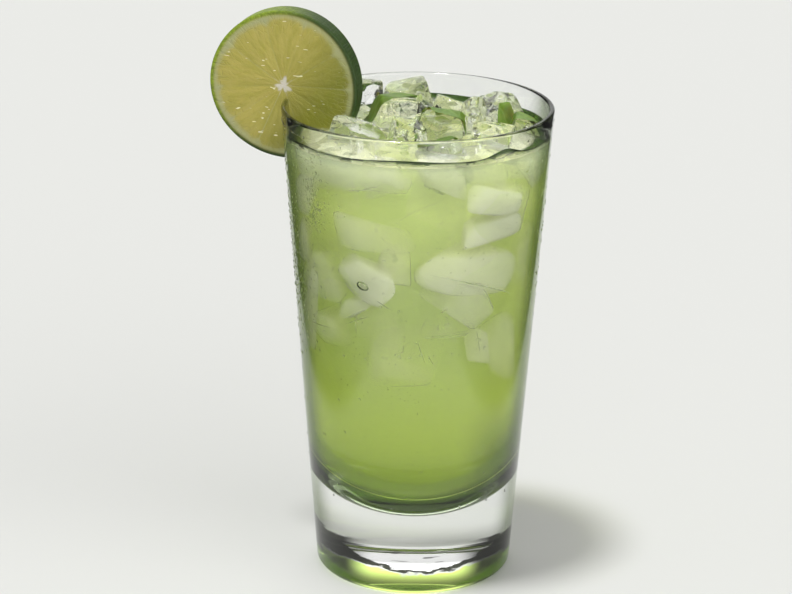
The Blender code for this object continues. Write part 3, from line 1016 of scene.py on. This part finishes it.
def cut_away(mesh, cutters):
    """The mesh less every cutter, as new data; the helper objects are gone afterwards."""
    scene = bpy.context.scene.collection.objects
    whole = bpy.data.objects.new("whole", mesh)
    scene.link(whole)
    tools = bpy.data.collections.new("tools")
    for number, cutter in enumerate(cutters):
        tools.objects.link(bpy.data.objects.new(f"tool_{number}", cutter))
    cut = whole.modifiers.new("cut", "BOOLEAN")
    cut.operation = "DIFFERENCE"
    cut.operand_type = "COLLECTION"
    cut.collection = tools
    cut.solver = "EXACT"
    bpy.context.view_layer.update()
    made = bpy.data.meshes.new_from_object(whole.evaluated_get(bpy.context.evaluated_depsgraph_get()))
    for helper in [*tools.objects, whole]:
        bpy.data.objects.remove(helper)
    bpy.data.collections.remove(tools)
    return made


def joined(first, second):
    """Two meshes as one."""
    shape = bmesh.new()
    shape.from_mesh(first)
    shape.from_mesh(second)
    made = bpy.data.meshes.new(first.name)
    shape.to_mesh(made)
    shape.free()
    return made


standing = [skin("tool", [ice_rings(planes, ICE_CRISP, HAIR)]) for planes in ice_shapes.values()]
slice_tool = skin("tool", [lime_core_rings(LIME_RADIUS - SLICE_LAP, LIME_THICKNESS / 2 - SLICE_LAP)])
whole_drink = skin("lime_drink", [rings])
# the dark contact line is painted shade, kept with each point
keep_at_corners(whole_drink, "line", "FLOAT", one_per_point(contact_line_shade[..., None]))
cut_drink = cut_away(whole_drink, standing + [slice_tool])
print("the drink is cut round", len(standing), "blocks and the slice")

# %% [markdown]
# A bubble is a ball turned inside out. One big bubble sits in a block at the left, and swarms of tiny ones
# cling to the glass. Long thin ones stand in for the edges and cracks of the sunk blocks, which the cloudy
# drink leaves as fine dark strokes.

# %% Bubbles
BUBBLE_SWARMS = (
    ((-141, 128.0), (5, 9), 70),
    ((-131, 126.0), (4, 14), 40),
    ((-118, 84.0), (5, 5), 30),
    ((-92, 78.0), (5, 12), 40),
    ((-104, 71.0), (9, 5), 26),
    ((-60, 110.0), (12, 14), 30),
    ((-90, 110.0), (70, 60), 90),
)
CRACKS = (
    ((-9.6, -33.4, 97.5), 4.5, 34),
    ((16.0, -33.0, 104.2), 25.0, 14),
    ((1.6, -32.0, 82.5), 8.0, 72),
    ((4.6, -32.0, 79.5), 3.5, 62),
    ((27.6, -22.0, 123.0), 11.0, 110),
    ((18.2, -27.0, 84.0), 7.0, 80),
    ((-27.5, -19.5, 86.0), 8.0, 8),
    ((-16.5, -30.0, 91.5), 6.5, -22),
)
CRACK_WIDTH = 0.14
BUBBLE_HEIGHTS = (45, 139)
BUBBLE_SIZES = (0.07, 0.2)
SUNK_POCKET_SEEDS = 140
SUNK_POCKETS = 4
BIG_BUBBLE = ((-15.6, -33.0, 103.0), (2.0, 1.2, 1.3), (0, 24, -12))


def swarm(middle, spread, count, draw):
    """Tiny balls of air just inside the wall, scattered round a place given by its angle and height."""
    for _ in range(count):
        angle = math.radians(draw.normal(middle[0], spread[0]))
        height = float(np.clip(draw.normal(middle[1], spread[1]), *BUBBLE_HEIGHTS))
        size = draw.uniform(*BUBBLE_SIZES)
        radius = inner_radius(height) - size - 0.04
        place = (radius * math.cos(angle), radius * math.sin(angle), height)
        yield ball(place, (size,) * 3, rows=6, columns=9)[::-1]


draw = np.random.default_rng(5)
bubbles = [ball(*BIG_BUBBLE, 14, 22)[::-1]]
for place, length, lean in CRACKS:
    bubbles.append(ball(place, (length / 2, 3 * CRACK_WIDTH, CRACK_WIDTH), (0, lean, 0), 12, 24)[::-1])
for number, planes in enumerate(sunk_shapes):
    bubbles += air_pockets(planes, SUNK_POCKET_SEEDS + number, SUNK_POCKETS, 0.55)
for middle, width, count in BUBBLE_SWARMS:
    bubbles += swarm(middle, width, count, draw)
drink_mesh = joined(cut_drink, skin("bubbles", bubbles))
drink_mesh.shade_smooth()
drink_mesh.set_sharp_from_angle(angle=math.radians(50))
print(len(bubbles), "bubbles")

# %% [markdown]
# Lime juice and crushed mint make the drink a cloudy yellow-green. Towards the bottom the tint is darker and
# deeper green, a painted shade where little light comes up from below. Near the top, melted ice thins it.
# The pulp scatters all colours alike, and the juice takes out blue. That much is done inside the drink. The
# rest is
# a tint of its skin, laid in layers: bands that follow the height, with a grey band of painted shade just
# under the surface, soft patches of random cells where green drink shows between the ice, a dark line of
# painted shade where the drink climbs the wall, darker edges of painted shade where the skin turns away from
# the eye, and more painted shade low on the right. At the bottom, where the curved floor of the glass bends
# the drink's lower edge, a thin light line is painted as a highlight, with a dark bow and a dark band beside
# the line as painted shade.

# %% The drink's colour
SURFACE_TINT = (1.0, 0.97, 1.0)
SURFACE_FROM = 0.1415
SURFACE_SPAN = (0.1412, 0.1416)
SURFACE_FACETS = 0.6
# painted shade: a grey band just under the drink's surface
UNDER_LINE_PAINTED_SHADE = (0.56, 0.60, 0.57)
UNDER_LINE_SPAN = (0.124, 0.137)
TOP_TINT = (0.93, 0.93, 0.94)
TOP_SPAN = (0.035, 0.110)
# painted shade: the drink is darker and deeper green towards the bottom
LOW_TINT_AND_SHADE = (0.74, 0.84, 0.15)
LOW_SPAN = (0.022, 0.058)
DEEP_PAINTED_SHADE = (0.28, 0.42, 0.10)
PATCH_TINT = (0.60, 0.74, 0.32)
PATCH_SCALE = (48.0, 48.0, 66.0)
PATCH_SPAN = (0.062, 0.088)
PATCH_STRENGTH = 0.2
BEND_SCALE = 45.0
BEND = 0.9
# painted shade: darker edges where the drink's skin turns away from the eye
SIDE_PAINTED_SHADE = (0.42, 0.52, 0.26)
SIDE_SPAN = (0.212, 0.275)
BOWL_SPAN = (0.046, 0.054)
# painted shade: a dark bow where the curved floor bends the drink's lower edge
BOW_PAINTED_SHADE = (0.06, 0.11, 0.03)
BOW_SPAN = (0.34, 0.48)
# painted shade: the drink is darker low on the right
RIGHT_SHADE_SPAN = (0.012, 0.026)
RIGHT_SHADE_HEIGHT = (0.044, 0.066)
RIGHT_SHADE_STRENGTH = 0.8
LENS_EDGE = 0.44
# painted shade beside the light line in the bowl
LENS_PAINTED_SHADE = (0.12, 0.20, 0.05)
LENS_STRENGTH = 0.7
# painted highlight: a thin light line in the bowl
GLOW_PAINTED_HIGHLIGHT = (1.0, 1.0, 0.6)
GLOW_WIDTH = 0.007
# painted shade: the dark line where the drink climbs the wall
LINE_PAINTED_SHADE = (0.02, 0.06, 0.005)
DRINK_IOR = 1.34
PULP_DENSITY = 55
JUICE = (0.935, 0.985, 0.45)
JUICE_DENSITY = 70


def make_patches():
    """A node group: cells of a random shade with bent borders, like blocks of ice and drink between."""
    group, place, results = new_group("patches", ("Shade",))
    bend = noise(group, place, BEND_SCALE, 1).outputs["Color"]
    bend = vector_node(group, "MULTIPLY", bend, (BEND, BEND, BEND))
    bent = vector_node(group, "ADD", vector_node(group, "MULTIPLY", place, PATCH_SCALE), bend)
    cells = add_node(group, "TexVoronoi", (("Vector", bent), ("Scale", 1.0)))
    feed(group, results["Shade"], split(group, cells.outputs["Color"], "SeparateColor")[0])
    return group


def drink_tint(material):
    """Feeds the skin's tint: each layer is mixed over the ones before it by its own share."""
    tree = material.node_tree
    place, x, _, z = object_place(tree)
    away = facing_away(tree)
    side = math_node(tree, "LESS_THAN", z, SURFACE_FROM)
    in_bowl = ramp(tree, z, BOWL_SPAN, 1, 0)
    shade = ramp(tree, use_group(tree, make_patches(), place)["Shade"], (0.35, 0.8))
    # painted shade: darker and deeper green towards the bottom
    tint = mix_colour(tree, ramp(tree, z, LOW_SPAN), DEEP_PAINTED_SHADE, LOW_TINT_AND_SHADE)
    tint = mix_colour(tree, ramp(tree, z, TOP_SPAN), tint, TOP_TINT)
    # painted shade: a grey band just under the surface
    tint = mix_colour(tree, ramp(tree, z, UNDER_LINE_SPAN), tint, UNDER_LINE_PAINTED_SHADE)
    tint = mix_colour(tree, side, SURFACE_TINT, tint)
    lens_span = (LENS_EDGE, LENS_EDGE + 0.004)
    # painted highlight: a thin light line where the bowl bends the drink's edge
    glow = math_node(tree, "COMPARE", away, LENS_EDGE, GLOW_WIDTH)
    # painted shade, darker low on the right
    right = ramp(tree, x, RIGHT_SHADE_SPAN, 0, RIGHT_SHADE_STRENGTH)
    layers = (
        (product(tree, shade, ramp(tree, z, PATCH_SPAN, 0, PATCH_STRENGTH), side), PATCH_TINT),
        # painted shade: darker edges where the skin turns away from the eye
        (product(tree, ramp(tree, away, SIDE_SPAN), side), SIDE_PAINTED_SHADE),
        # painted shade: the dark bow in the bowl
        (product(tree, ramp(tree, away, BOW_SPAN), in_bowl), BOW_PAINTED_SHADE),
        # painted shade: darker low on the right
        (product(tree, right, ramp(tree, z, RIGHT_SHADE_HEIGHT, 1, 0)), BOW_PAINTED_SHADE),
        # painted shade beside the bowl's light line
        (product(tree, ramp(tree, away, lens_span, 0, LENS_STRENGTH), in_bowl), LENS_PAINTED_SHADE),
        # painted highlight: the thin light line in the bowl
        (product(tree, glow, in_bowl), GLOW_PAINTED_HIGHLIGHT),
        # painted shade: the dark line where the drink climbs the wall
        (kept(tree, "line", "Fac"), LINE_PAINTED_SHADE),
    )
    for share, colour in layers:
        tint = mix_colour(tree, share, tint, colour)
    feed(tree, tree.nodes["Principled BSDF"].inputs["Base Color"], tint)
    add_facets(material, ramp(tree, z, SURFACE_SPAN, 0, SURFACE_FACETS))


drink_material = clear_material("lime_drink", (0.62, 0.76, 0.30), DRINK_IOR)
drink_tint(drink_material)
fill_inside(drink_material, (1, 1, 1), PULP_DENSITY, JUICE, JUICE_DENSITY)
show("lime_drink", drink_mesh, drink_material, "drink")
print("drink", len(drink_mesh.polygons), "faces")


# %% [markdown]
# The slice is a disc cut across a lime. From the outside in it has a thin green rind, a white pith, then ten
# wedges of juice sacs between pale skins, and a white core. All of that follows from two numbers for each
# point: how far it is from the core, and in which direction. So one function gives the relief and the
# colours of a cut face. The wedges differ a little in width, as they do in a real fruit.

# %% The cut face of the lime
LIME_RIND = 1.25
LIME_PITH = 1.45
LIME_CORE = 1.8
LIME_SEGMENTS = 10
LIME_COLUMNS = 320
LIME_FACE_ROWS = 58
SAC_SCALE = 15.0
PULP_SWELL = 0.17
SAC_HEIGHT = 0.045
PITH_SWELL = 0.04
PEEL_DIMPLE = 0.010
EDGE_ROUND = 0.6


def wedge_phase(angle):
    """The direction counted in half wedges of uneven width: a skin lies at each multiple of pi."""
    uneven = angle + 0.07 * np.sin(2 * angle + 0.7) + 0.05 * np.sin(3 * angle + 2.1)
    return uneven * LIME_SEGMENTS / 2


def pulp_edge(angle):
    """How far out the pulp reaches: it stops at the pith, and is rounded off near each skin."""
    across = np.abs(np.sin(wedge_phase(angle)))
    wobble = 0.35 * np.sin(4 * angle + 1) + 0.25 * np.sin(9 * angle) + 0.12 * np.sin(31 * angle + 2)
    return LIME_RADIUS - LIME_RIND - LIME_PITH - 1.3 * (1 - across) ** 4 + wobble


def face_masks(radius, angle):
    """Shares of rind, of white and of raised pulp on a cut face, each from 0 to 1."""
    across = np.abs(np.sin(wedge_phase(angle)))
    to_skin = across * radius * 2 / LIME_SEGMENTS
    skin_width = 0.10 + 0.08 * np.sin(7 * angle + radius) ** 2
    shown = 0.10 + 0.42 * np.sin(2.5 * angle + 0.8) ** 2 * np.sin(1.5 * angle + 0.4) ** 2
    skins = shown * np.exp(-((to_skin / skin_width) ** 2))
    pith = 1 / (1 + np.exp(-(radius - pulp_edge(angle)) * 2.6))
    ragged = LIME_CORE * (1 + 0.38 * np.cos(3 * angle + 1) + 0.25 * np.cos(7 * angle))
    core = 1 / (1 + np.exp((radius - ragged) * 6))
    white = np.maximum(np.maximum(skins, pith), core)
    rind = 1 / (1 + np.exp(-(radius + 0 * angle - LIME_RADIUS + LIME_RIND) * 7))
    share = np.clip((radius - LIME_CORE) / (pulp_edge(angle) - LIME_CORE), 0, 1)
    raised = across**0.5 * np.sin(np.pi * share) ** 0.4 * (1 - core)
    return rind, white * (1 - rind), raised


def sac_relief(radius, angle, seed):
    """Fine ridges that run outwards, one for each sac: waves of the direction that drift with the radius."""
    fine = np.sin(46 * angle + 2.5 * np.sin(0.9 * radius + seed) + seed)
    coarse = np.sin(27 * angle + 2 * np.sin(0.6 * radius + 2 * seed) + 3 * seed)
    return 0.5 * fine + 0.5 * coarse


print("a slice", 2 * LIME_RADIUS, "mm across, with", LIME_SEGMENTS, "wedges")

# %% [markdown]
# The whole slice is a globe as well, pressed flat: its poles are the middles of the two faces, and its rings
# run out over one face, across the rind, and in again over the other. The shares of rind, white and pulp are
# kept with every point, so that the colours later fall exactly where the relief is.

# %% The skin of the slice


def lime_rings(seed):
    """The whole slice from the middle of one face over the rind to the middle of the other, and its masks.

    A face is flat, plus a swelling of the pulp, the relief of its sacs and a slight swelling of the pith.
    The rind is round at both edges, and dimpled by two waves that cross.
    """
    angle = np.linspace(0, 2 * np.pi, LIME_COLUMNS, endpoint=False)[None, :]
    inner = np.linspace(0, 1, LIME_FACE_ROWS)[:, None] * (LIME_RADIUS - EDGE_ROUND)
    turn = np.linspace(0, np.pi / 2, 6)[1:, None]
    radius = np.vstack([inner, LIME_RADIUS - EDGE_ROUND + EDGE_ROUND * np.sin(turn)])
    drop = np.vstack([0 * inner, EDGE_ROUND * (1 - np.cos(turn))])
    rind, white, raised = face_masks(radius, angle)
    half = LIME_THICKNESS / 2
    sides = []
    for way, shift in ((1, seed), (-1, seed + 5)):
        pulp = raised * (PULP_SWELL + SAC_HEIGHT * sac_relief(radius, angle, shift))
        swell = pulp + PITH_SWELL * white
        sides.append(way * (half - drop + swell * (drop == 0)))
    wall = np.linspace(half - EDGE_ROUND, -half + EDGE_ROUND, 10)[1:-1, None] + 0 * angle
    rim = np.full_like(wall, LIME_RADIUS)
    fine, coarse = np.sin(31 * angle + 3 * wall), np.sin(5 * wall + 2 * np.sin(19 * angle))
    dimple = PEEL_DIMPLE * (1 + fine) * (1 + coarse)
    depth = np.vstack([sides[0], wall, sides[1][::-1]])
    radius = np.vstack([radius + 0 * angle, rim - dimple, radius[::-1] + 0 * angle])
    masks = [
        np.vstack([mask, on_rind + 0 * wall, mask[::-1]])
        for mask, on_rind in ((rind, 1), (white, 0), (raised, 0))
    ]
    around = np.vstack([angle] * len(radius))
    reach = radius * out_of_round(around)
    local = np.stack([reach * np.cos(around), reach * np.sin(around), depth], -1)
    sacs = np.stack([np.cos(around), np.sin(around), radius / SAC_SCALE], -1) * SAC_SCALE
    return local, np.stack(masks + [np.ones_like(radius)], -1), sacs


local, fruit, sacs = lime_rings(2.0)
lime_whole = skin("lime", [lime_place(local)])
keep_at_corners(lime_whole, "fruit", "FLOAT_COLOR", one_per_point(fruit))
keep_at_corners(lime_whole, "sacs", "FLOAT_VECTOR", one_per_point(sacs))
print("the slice has", len(lime_whole.vertices), "points before it is slit")

# %% [markdown]
# The slice sits on the rim by a slit from its edge nearly to its core. The slit is cut with a ring that has
# the shape of the glass wall and is a little thicker. The colours are kept at the corners of the faces, so
# that they stay right where the cut goes through, and what is laid bare takes the colour of the pulp.

# %% The slice on the rim
SLIT_LENGTH = 28.0
SLIT_ROOM = 0.4
OVER_RIM = 0.3


def wall_ring(low, high, room, columns=256):
    """The glass wall between two heights, thicker by a little room on each side, as a closed band."""
    angle = np.linspace(0, 2 * np.pi, columns, endpoint=False)
    section = [(inner_radius(low) - room, low), (inner_radius(high) - room, high)]
    section += [(outer_radius(high) + room, high), (outer_radius(low) + room, low)]
    radius, height = np.array(section).T[:, :, None]
    points = np.stack([radius * np.cos(angle), radius * np.sin(angle), height + 0 * angle], -1)
    side, column = np.arange(4)[:, None], np.arange(columns)
    after, beside = (side + 1) % 4, (column + 1) % columns
    here, there = side * columns, after * columns
    faces = np.stack([here + column, here + beside, there + beside, there + column], -1)
    no_triangles = np.zeros((0, 3), int)
    return mesh_from("wall_ring", points.reshape(-1, 3), faces.reshape(-1, 4), no_triangles)


slit = wall_ring(LIME_HEIGHT - SLIT_LENGTH, GLASS_HEIGHT + OVER_RIM, SLIT_ROOM)
lime_mesh = cut_away(lime_whole, [slit])
lime_mesh.shade_smooth()
lime_mesh.set_sharp_from_angle(angle=math.radians(55))
print("slice", len(lime_mesh.polygons), "faces")

# %% [markdown]
# The pulp is olive yellow and wet, and light goes some way into it. Every sac has a thin paler outline, and
# pale glints are painted on the pulp as highlights. The half that hangs in the glass is painted darker and
# greener as shade, and the rind is painted lighter towards the upper left, as light.

# %% What the lime is made of
PULP_LIGHT = (0.50, 0.435, 0.105)
PULP_DEEP = (0.43, 0.385, 0.078)
# painted shade: the part of the slice in the glass is darker and greener
PULP_PAINTED_SHADE = (0.21, 0.225, 0.022)
PITH_COLOUR = (0.43, 0.44, 0.22)
CORE_COLOUR = (0.74, 0.70, 0.60)
# painted light: the rind's lighter colour, laid on towards the upper left
RIND_PAINTED_LIGHT = (0.27, 0.37, 0.03)
RIND_DARK = (0.030, 0.062, 0.010)
# painted highlights: pale glints on the pulp
GLINT_COLOUR = (0.95, 0.93, 0.62)
SAC_STRETCH = (1.0, 1.0, 0.28)
LOWER_RIGHT_SLOPE = -0.55
PULP_SHADE_SPAN = (-0.130, -0.108)
LIT_SPAN = (-0.150, -0.124)
GLINT_SCALE = (330.0, 330.0, 1250.0)
GLINT_SPAN = (0.72, 0.75)
LIME_SHADER = (
    ("Specular IOR Level", 0.35),
    ("Subsurface Weight", 0.5),
    ("Subsurface Radius", (1.0, 0.9, 0.35)),
    ("Subsurface Scale", 0.004),
)


def make_lime_material():
    """Pulp, pith, core and rind by the masks that the mesh keeps, each with its own fine pattern."""
    material, tree, shader = new_material("lime", LIME_SHADER)
    place, x, _, z = object_place(tree)
    rind, white, _ = split(tree, kept(tree, "fruit", "Color"), "SeparateColor")
    sac_place = kept(tree, "sacs", "Vector")
    reach = split(tree, sac_place)[2]
    stretched = vector_node(tree, "MULTIPLY", sac_place, SAC_STRETCH)
    cells = add_node(tree, "TexVoronoi", (("Vector", stretched), ("Scale", 0.9)), feature="DISTANCE_TO_EDGE")
    near_pith = ramp(tree, reach, (0.55 * LIME_RADIUS, 0.88 * LIME_RADIUS), 0.25, 1)
    outline = product(tree, ramp(tree, cells.outputs["Distance"], (0, 0.07), 1, 0), near_pith)
    tone = noise(tree, stretched, 0.55, 4).outputs[0]
    pulp = mix_colour(tree, ramp(tree, tone, (0.35, 0.68)), PULP_LIGHT, PULP_DEEP)
    lower_right = math_node(tree, "MULTIPLY_ADD", z, LOWER_RIGHT_SLOPE, x)
    # painted shade: darker and greener towards the lower right, where the slice hangs in the glass
    pulp = mix_colour(tree, ramp(tree, lower_right, PULP_SHADE_SPAN, 0, 0.85), pulp, PULP_PAINTED_SHADE)
    pulp = mix_colour(tree, product(tree, outline, 0.10), pulp, PITH_COLOUR)
    # painted highlights: pale glints laid on the pulp
    painted_glints = noise(tree, place, GLINT_SCALE, 1).outputs[0]
    pulp = mix_colour(tree, ramp(tree, painted_glints, GLINT_SPAN, 0, 0.9), pulp, GLINT_COLOUR)
    spots = noise(tree, place, 900.0, 2).outputs[0]
    # painted light: the rind's spots are lighter towards the upper left
    lit = product(tree, ramp(tree, lower_right, LIT_SPAN, 1.7, 0), spots)
    peel = mix_colour(tree, lit, RIND_DARK, RIND_PAINTED_LIGHT)
    near_core = ramp(tree, reach, (1.5 * LIME_CORE, 2.2 * LIME_CORE), 1, 0)
    flesh = mix_colour(tree, white, pulp, mix_colour(tree, near_core, PITH_COLOUR, CORE_COLOUR))
    feed(tree, shader.inputs["Base Color"], mix_colour(tree, rind, flesh, peel))
    dull = math_node(tree, "MAXIMUM", rind, white)
    feed(tree, shader.inputs["Roughness"], ramp(tree, dull, (0.2, 0.8), 0.24, 0.55))
    height = math_node(tree, "MULTIPLY_ADD", outline, -0.4, product(tree, spots, 0.6))
    set_relief(tree, height, 0.7, 0.0004)
    return material


show("lime_slice_skin", lime_mesh, make_lime_material(), "lime_slice")
print("the lime shows pulp, pith, core and rind")


# %% [markdown]
# The mint lies on the ice, pressed down by its own wetness. A leaf is a pointed oval with a toothed edge, a
# fold along its middle and raised fields between its veins. It is laid over the blocks like a sheet: it
# starts at the height of the ice under each of its points, then every point moves towards the mean of its
# neighbours a few times, but never sinks below the ice.

# %% The shape of a leaf
LEAVES = (
    ("mint_left", (-8.8, 10.5), 38, 22.0, 10.0),
    ("mint_middle", (8.8, 1.0), -56, 20.5, 10.5),
    ("mint_small", (-1.8, -0.8), -24, 8.8, 7.2),
    ("mint_right", (31.2, 1.0), -40, 16.5, 10.0),
    ("mint_front", (6.0, -21.5), 14, 12.5, 5.5),
)
LEAF_ROWS = 90
LEAF_COLUMNS = 64
LEAF_TEETH = 8
LEAF_THICKNESS = 0.35
LEAF_OVER_ICE = 0.35
VEIN_RELIEF = 0.22
DRAPE_STEPS = 60
SMOOTH_STEPS = 6


def leaf_half_width(along, width):
    """Half the width of a pointed, toothed oval, at a place from 0 at the stalk to 1 at the tip."""
    oval = np.sin(np.pi * along**0.85) ** 0.8
    tooth = 1 - 0.12 * (1 - (along * LEAF_TEETH) % 1)
    return width / 2 * oval * tooth


def smoothed(heights):
    """The mean of each point's neighbours, with the edges repeated."""
    wide = np.pad(heights, 1, mode="edge")
    return (wide[:-2, 1:-1] + wide[2:, 1:-1] + wide[1:-1, :-2] + wide[1:-1, 2:]) / 4


def veins(along, across):
    """Nearness to a vein, from 0 to 1: the midrib, and side veins that leave it forwards on both sides."""
    midrib = np.exp(-((across / 0.06) ** 2))
    side = np.abs(np.sin(np.pi * (LEAF_TEETH * (along - 0.16 * np.abs(across)))))
    return np.maximum(midrib, np.exp(-((side / 0.20) ** 2)) * (1 - np.abs(across)) ** 0.5)


def leaf_rings(middle, heading, length, width, blocks):
    """A closed skin: rows run from stalk to tip, and columns go across the top and back underneath."""
    along = np.linspace(0, 1, LEAF_ROWS)[:, None]
    turn = np.linspace(0, 2 * np.pi, LEAF_COLUMNS, endpoint=False)[None, :]
    across = np.cos(turn) + 0 * along
    ahead = np.array([math.cos(math.radians(heading)), math.sin(math.radians(heading))])
    beside = np.array([-ahead[1], ahead[0]])
    half = leaf_half_width(along, width)
    shift = (length * (along - 0.5))[..., None] * ahead + (across * half)[..., None] * beside
    x, y = middle[0] + shift[..., 0], middle[1] + shift[..., 1]
    under = np.max([ice_top(planes, x, y) for planes in blocks] + [np.full_like(x, DRINK_LEVEL)], 0)
    height = under.copy()
    for _ in range(DRAPE_STEPS):
        height = np.maximum(under, smoothed(height))
    for _ in range(SMOOTH_STEPS):
        height = smoothed(height)
    curl = 0.9 * np.abs(across) ** 2 + 0.5 * np.sin(3 * np.pi * along) * np.abs(across)
    relief = VEIN_RELIEF * (1 - veins(along, across)) * (1 - across**2)
    thick = LEAF_THICKNESS / 2 * np.sin(turn) * np.minimum(1, half / 0.6)
    z = height + LEAF_OVER_ICE + 0.6 * curl + relief + thick
    values = np.stack([veins(along, across), along + 0 * across, np.abs(across), 1 + 0 * across], -1)
    return np.stack([x, y, z], -1), values


print("a leaf has", LEAF_TEETH, "teeth on each side")

# %% [markdown]
# Mint is dark green and dull, with paler veins and a finely wrinkled blade. Wet as it is, it has a thin coat
# of gloss, and a little light goes into it. The nearness to a vein is kept with every point of the leaf.

# %% Mint leaves
BLADE_DARK = (0.085, 0.165, 0.010)
BLADE_LIGHT = (0.14, 0.25, 0.020)
RIB_COLOUR = (0.24, 0.36, 0.08)
MINT_SHADER = (
    ("Roughness", 0.5),
    ("Specular IOR Level", 0.3),
    ("Coat Weight", 0.08),
    ("Coat Roughness", 0.08),
    ("Subsurface Weight", 0.15),
    ("Subsurface Scale", 0.001),
)


def make_mint_material():
    """A blade in two greens with paler veins, finely wrinkled and a little wet."""
    material, tree, shader = new_material("mint", MINT_SHADER)
    tone = noise(tree, object_place(tree)[0], 260.0, 5).outputs[0]
    blade = mix_colour(tree, ramp(tree, tone, (0.35, 0.7)), BLADE_DARK, BLADE_LIGHT)
    vein = split(tree, kept(tree, "leaf", "Color"), "SeparateColor")[0]
    tint = mix_colour(tree, product(tree, vein, 0.55), blade, RIB_COLOUR)
    feed(tree, shader.inputs["Base Color"], tint)
    set_relief(tree, tone, 0.5, 0.0003)
    return material


mint_material = make_mint_material()
for name, middle, heading, length, width in LEAVES:
    leaf, values = leaf_rings(middle, heading, length, width, ice_shapes.values())
    mesh = skin(name + "_leaf", [leaf])
    keep_at_corners(mesh, "leaf", "FLOAT_COLOR", one_per_point(values))
    show(name + "_leaf", mesh, mint_material, name)
print(len(LEAVES), "leaves")


# %% [markdown]
# A cold glass draws dew from the air. It is thickest down the left side, and finer at the right edge. Each
# drop is a flat cap of water whose underside lies just inside the glass, so no air is caught below it.

# %% Dew on the glass
DEW_PATCHES = (
    ((-168, 112.0), (9, 26), 620),
    ((-141, 129.0), (3, 6), 260),
    ((-152, 108.0), (7, 22), 260),
    ((-14, 118.0), (10, 20), 240),
    ((-35, 132.0), (7, 6), 60),
    ((-90, 96.0), (60, 40), 160),
)
DEW_HEIGHTS = (30, 146)
DROP_FLATNESS = 0.45
WALL_LEAN = math.degrees(math.atan((RIM_RADIUS - FOOT_RADIUS) / GLASS_HEIGHT))


def drop(angle, height, size):
    """A cap of water: a ball pressed flat against the wall and turned to face outwards."""
    flat = DROP_FLATNESS * size
    radius = outer_radius(height) + 0.15 * flat
    cap = ball((0, 0, 0), (flat, size, 1.1 * size), (0, WALL_LEAN, 0), rows=7, columns=10)
    facing_out = cap @ turn_matrix((0, 0, math.degrees(angle))).T
    return facing_out + np.array([radius * math.cos(angle), radius * math.sin(angle), height])


dew = []
draw = np.random.default_rng(9)
for middle, spread, count in DEW_PATCHES:
    for _ in range(count):
        angle = math.radians(draw.normal(middle[0], spread[0]))
        height = float(np.clip(draw.normal(middle[1], spread[1]), *DEW_HEIGHTS))
        size = 0.14 + 0.34 * draw.random() ** 3
        dew.append(drop(angle, height, size))
dew_mesh = skin("dew", dew)
show("dew", dew_mesh, water_material)
print(len(dew), "drops of dew")

# %% [markdown]
# Last, the size of what was made is kept next to the size of the plain solids. The two should agree, because
# every piece stands in the place of its solid.

# %% Keep the sizes and finish
boxes = {"cad": cad_box, "visual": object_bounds()}
print("the scene reaches from", *[[round(float(v), 4) for v in corner] for corner in boxes["visual"]])
{key: [[float(v) for v in corner] for corner in box] for key, box in boxes.items()}
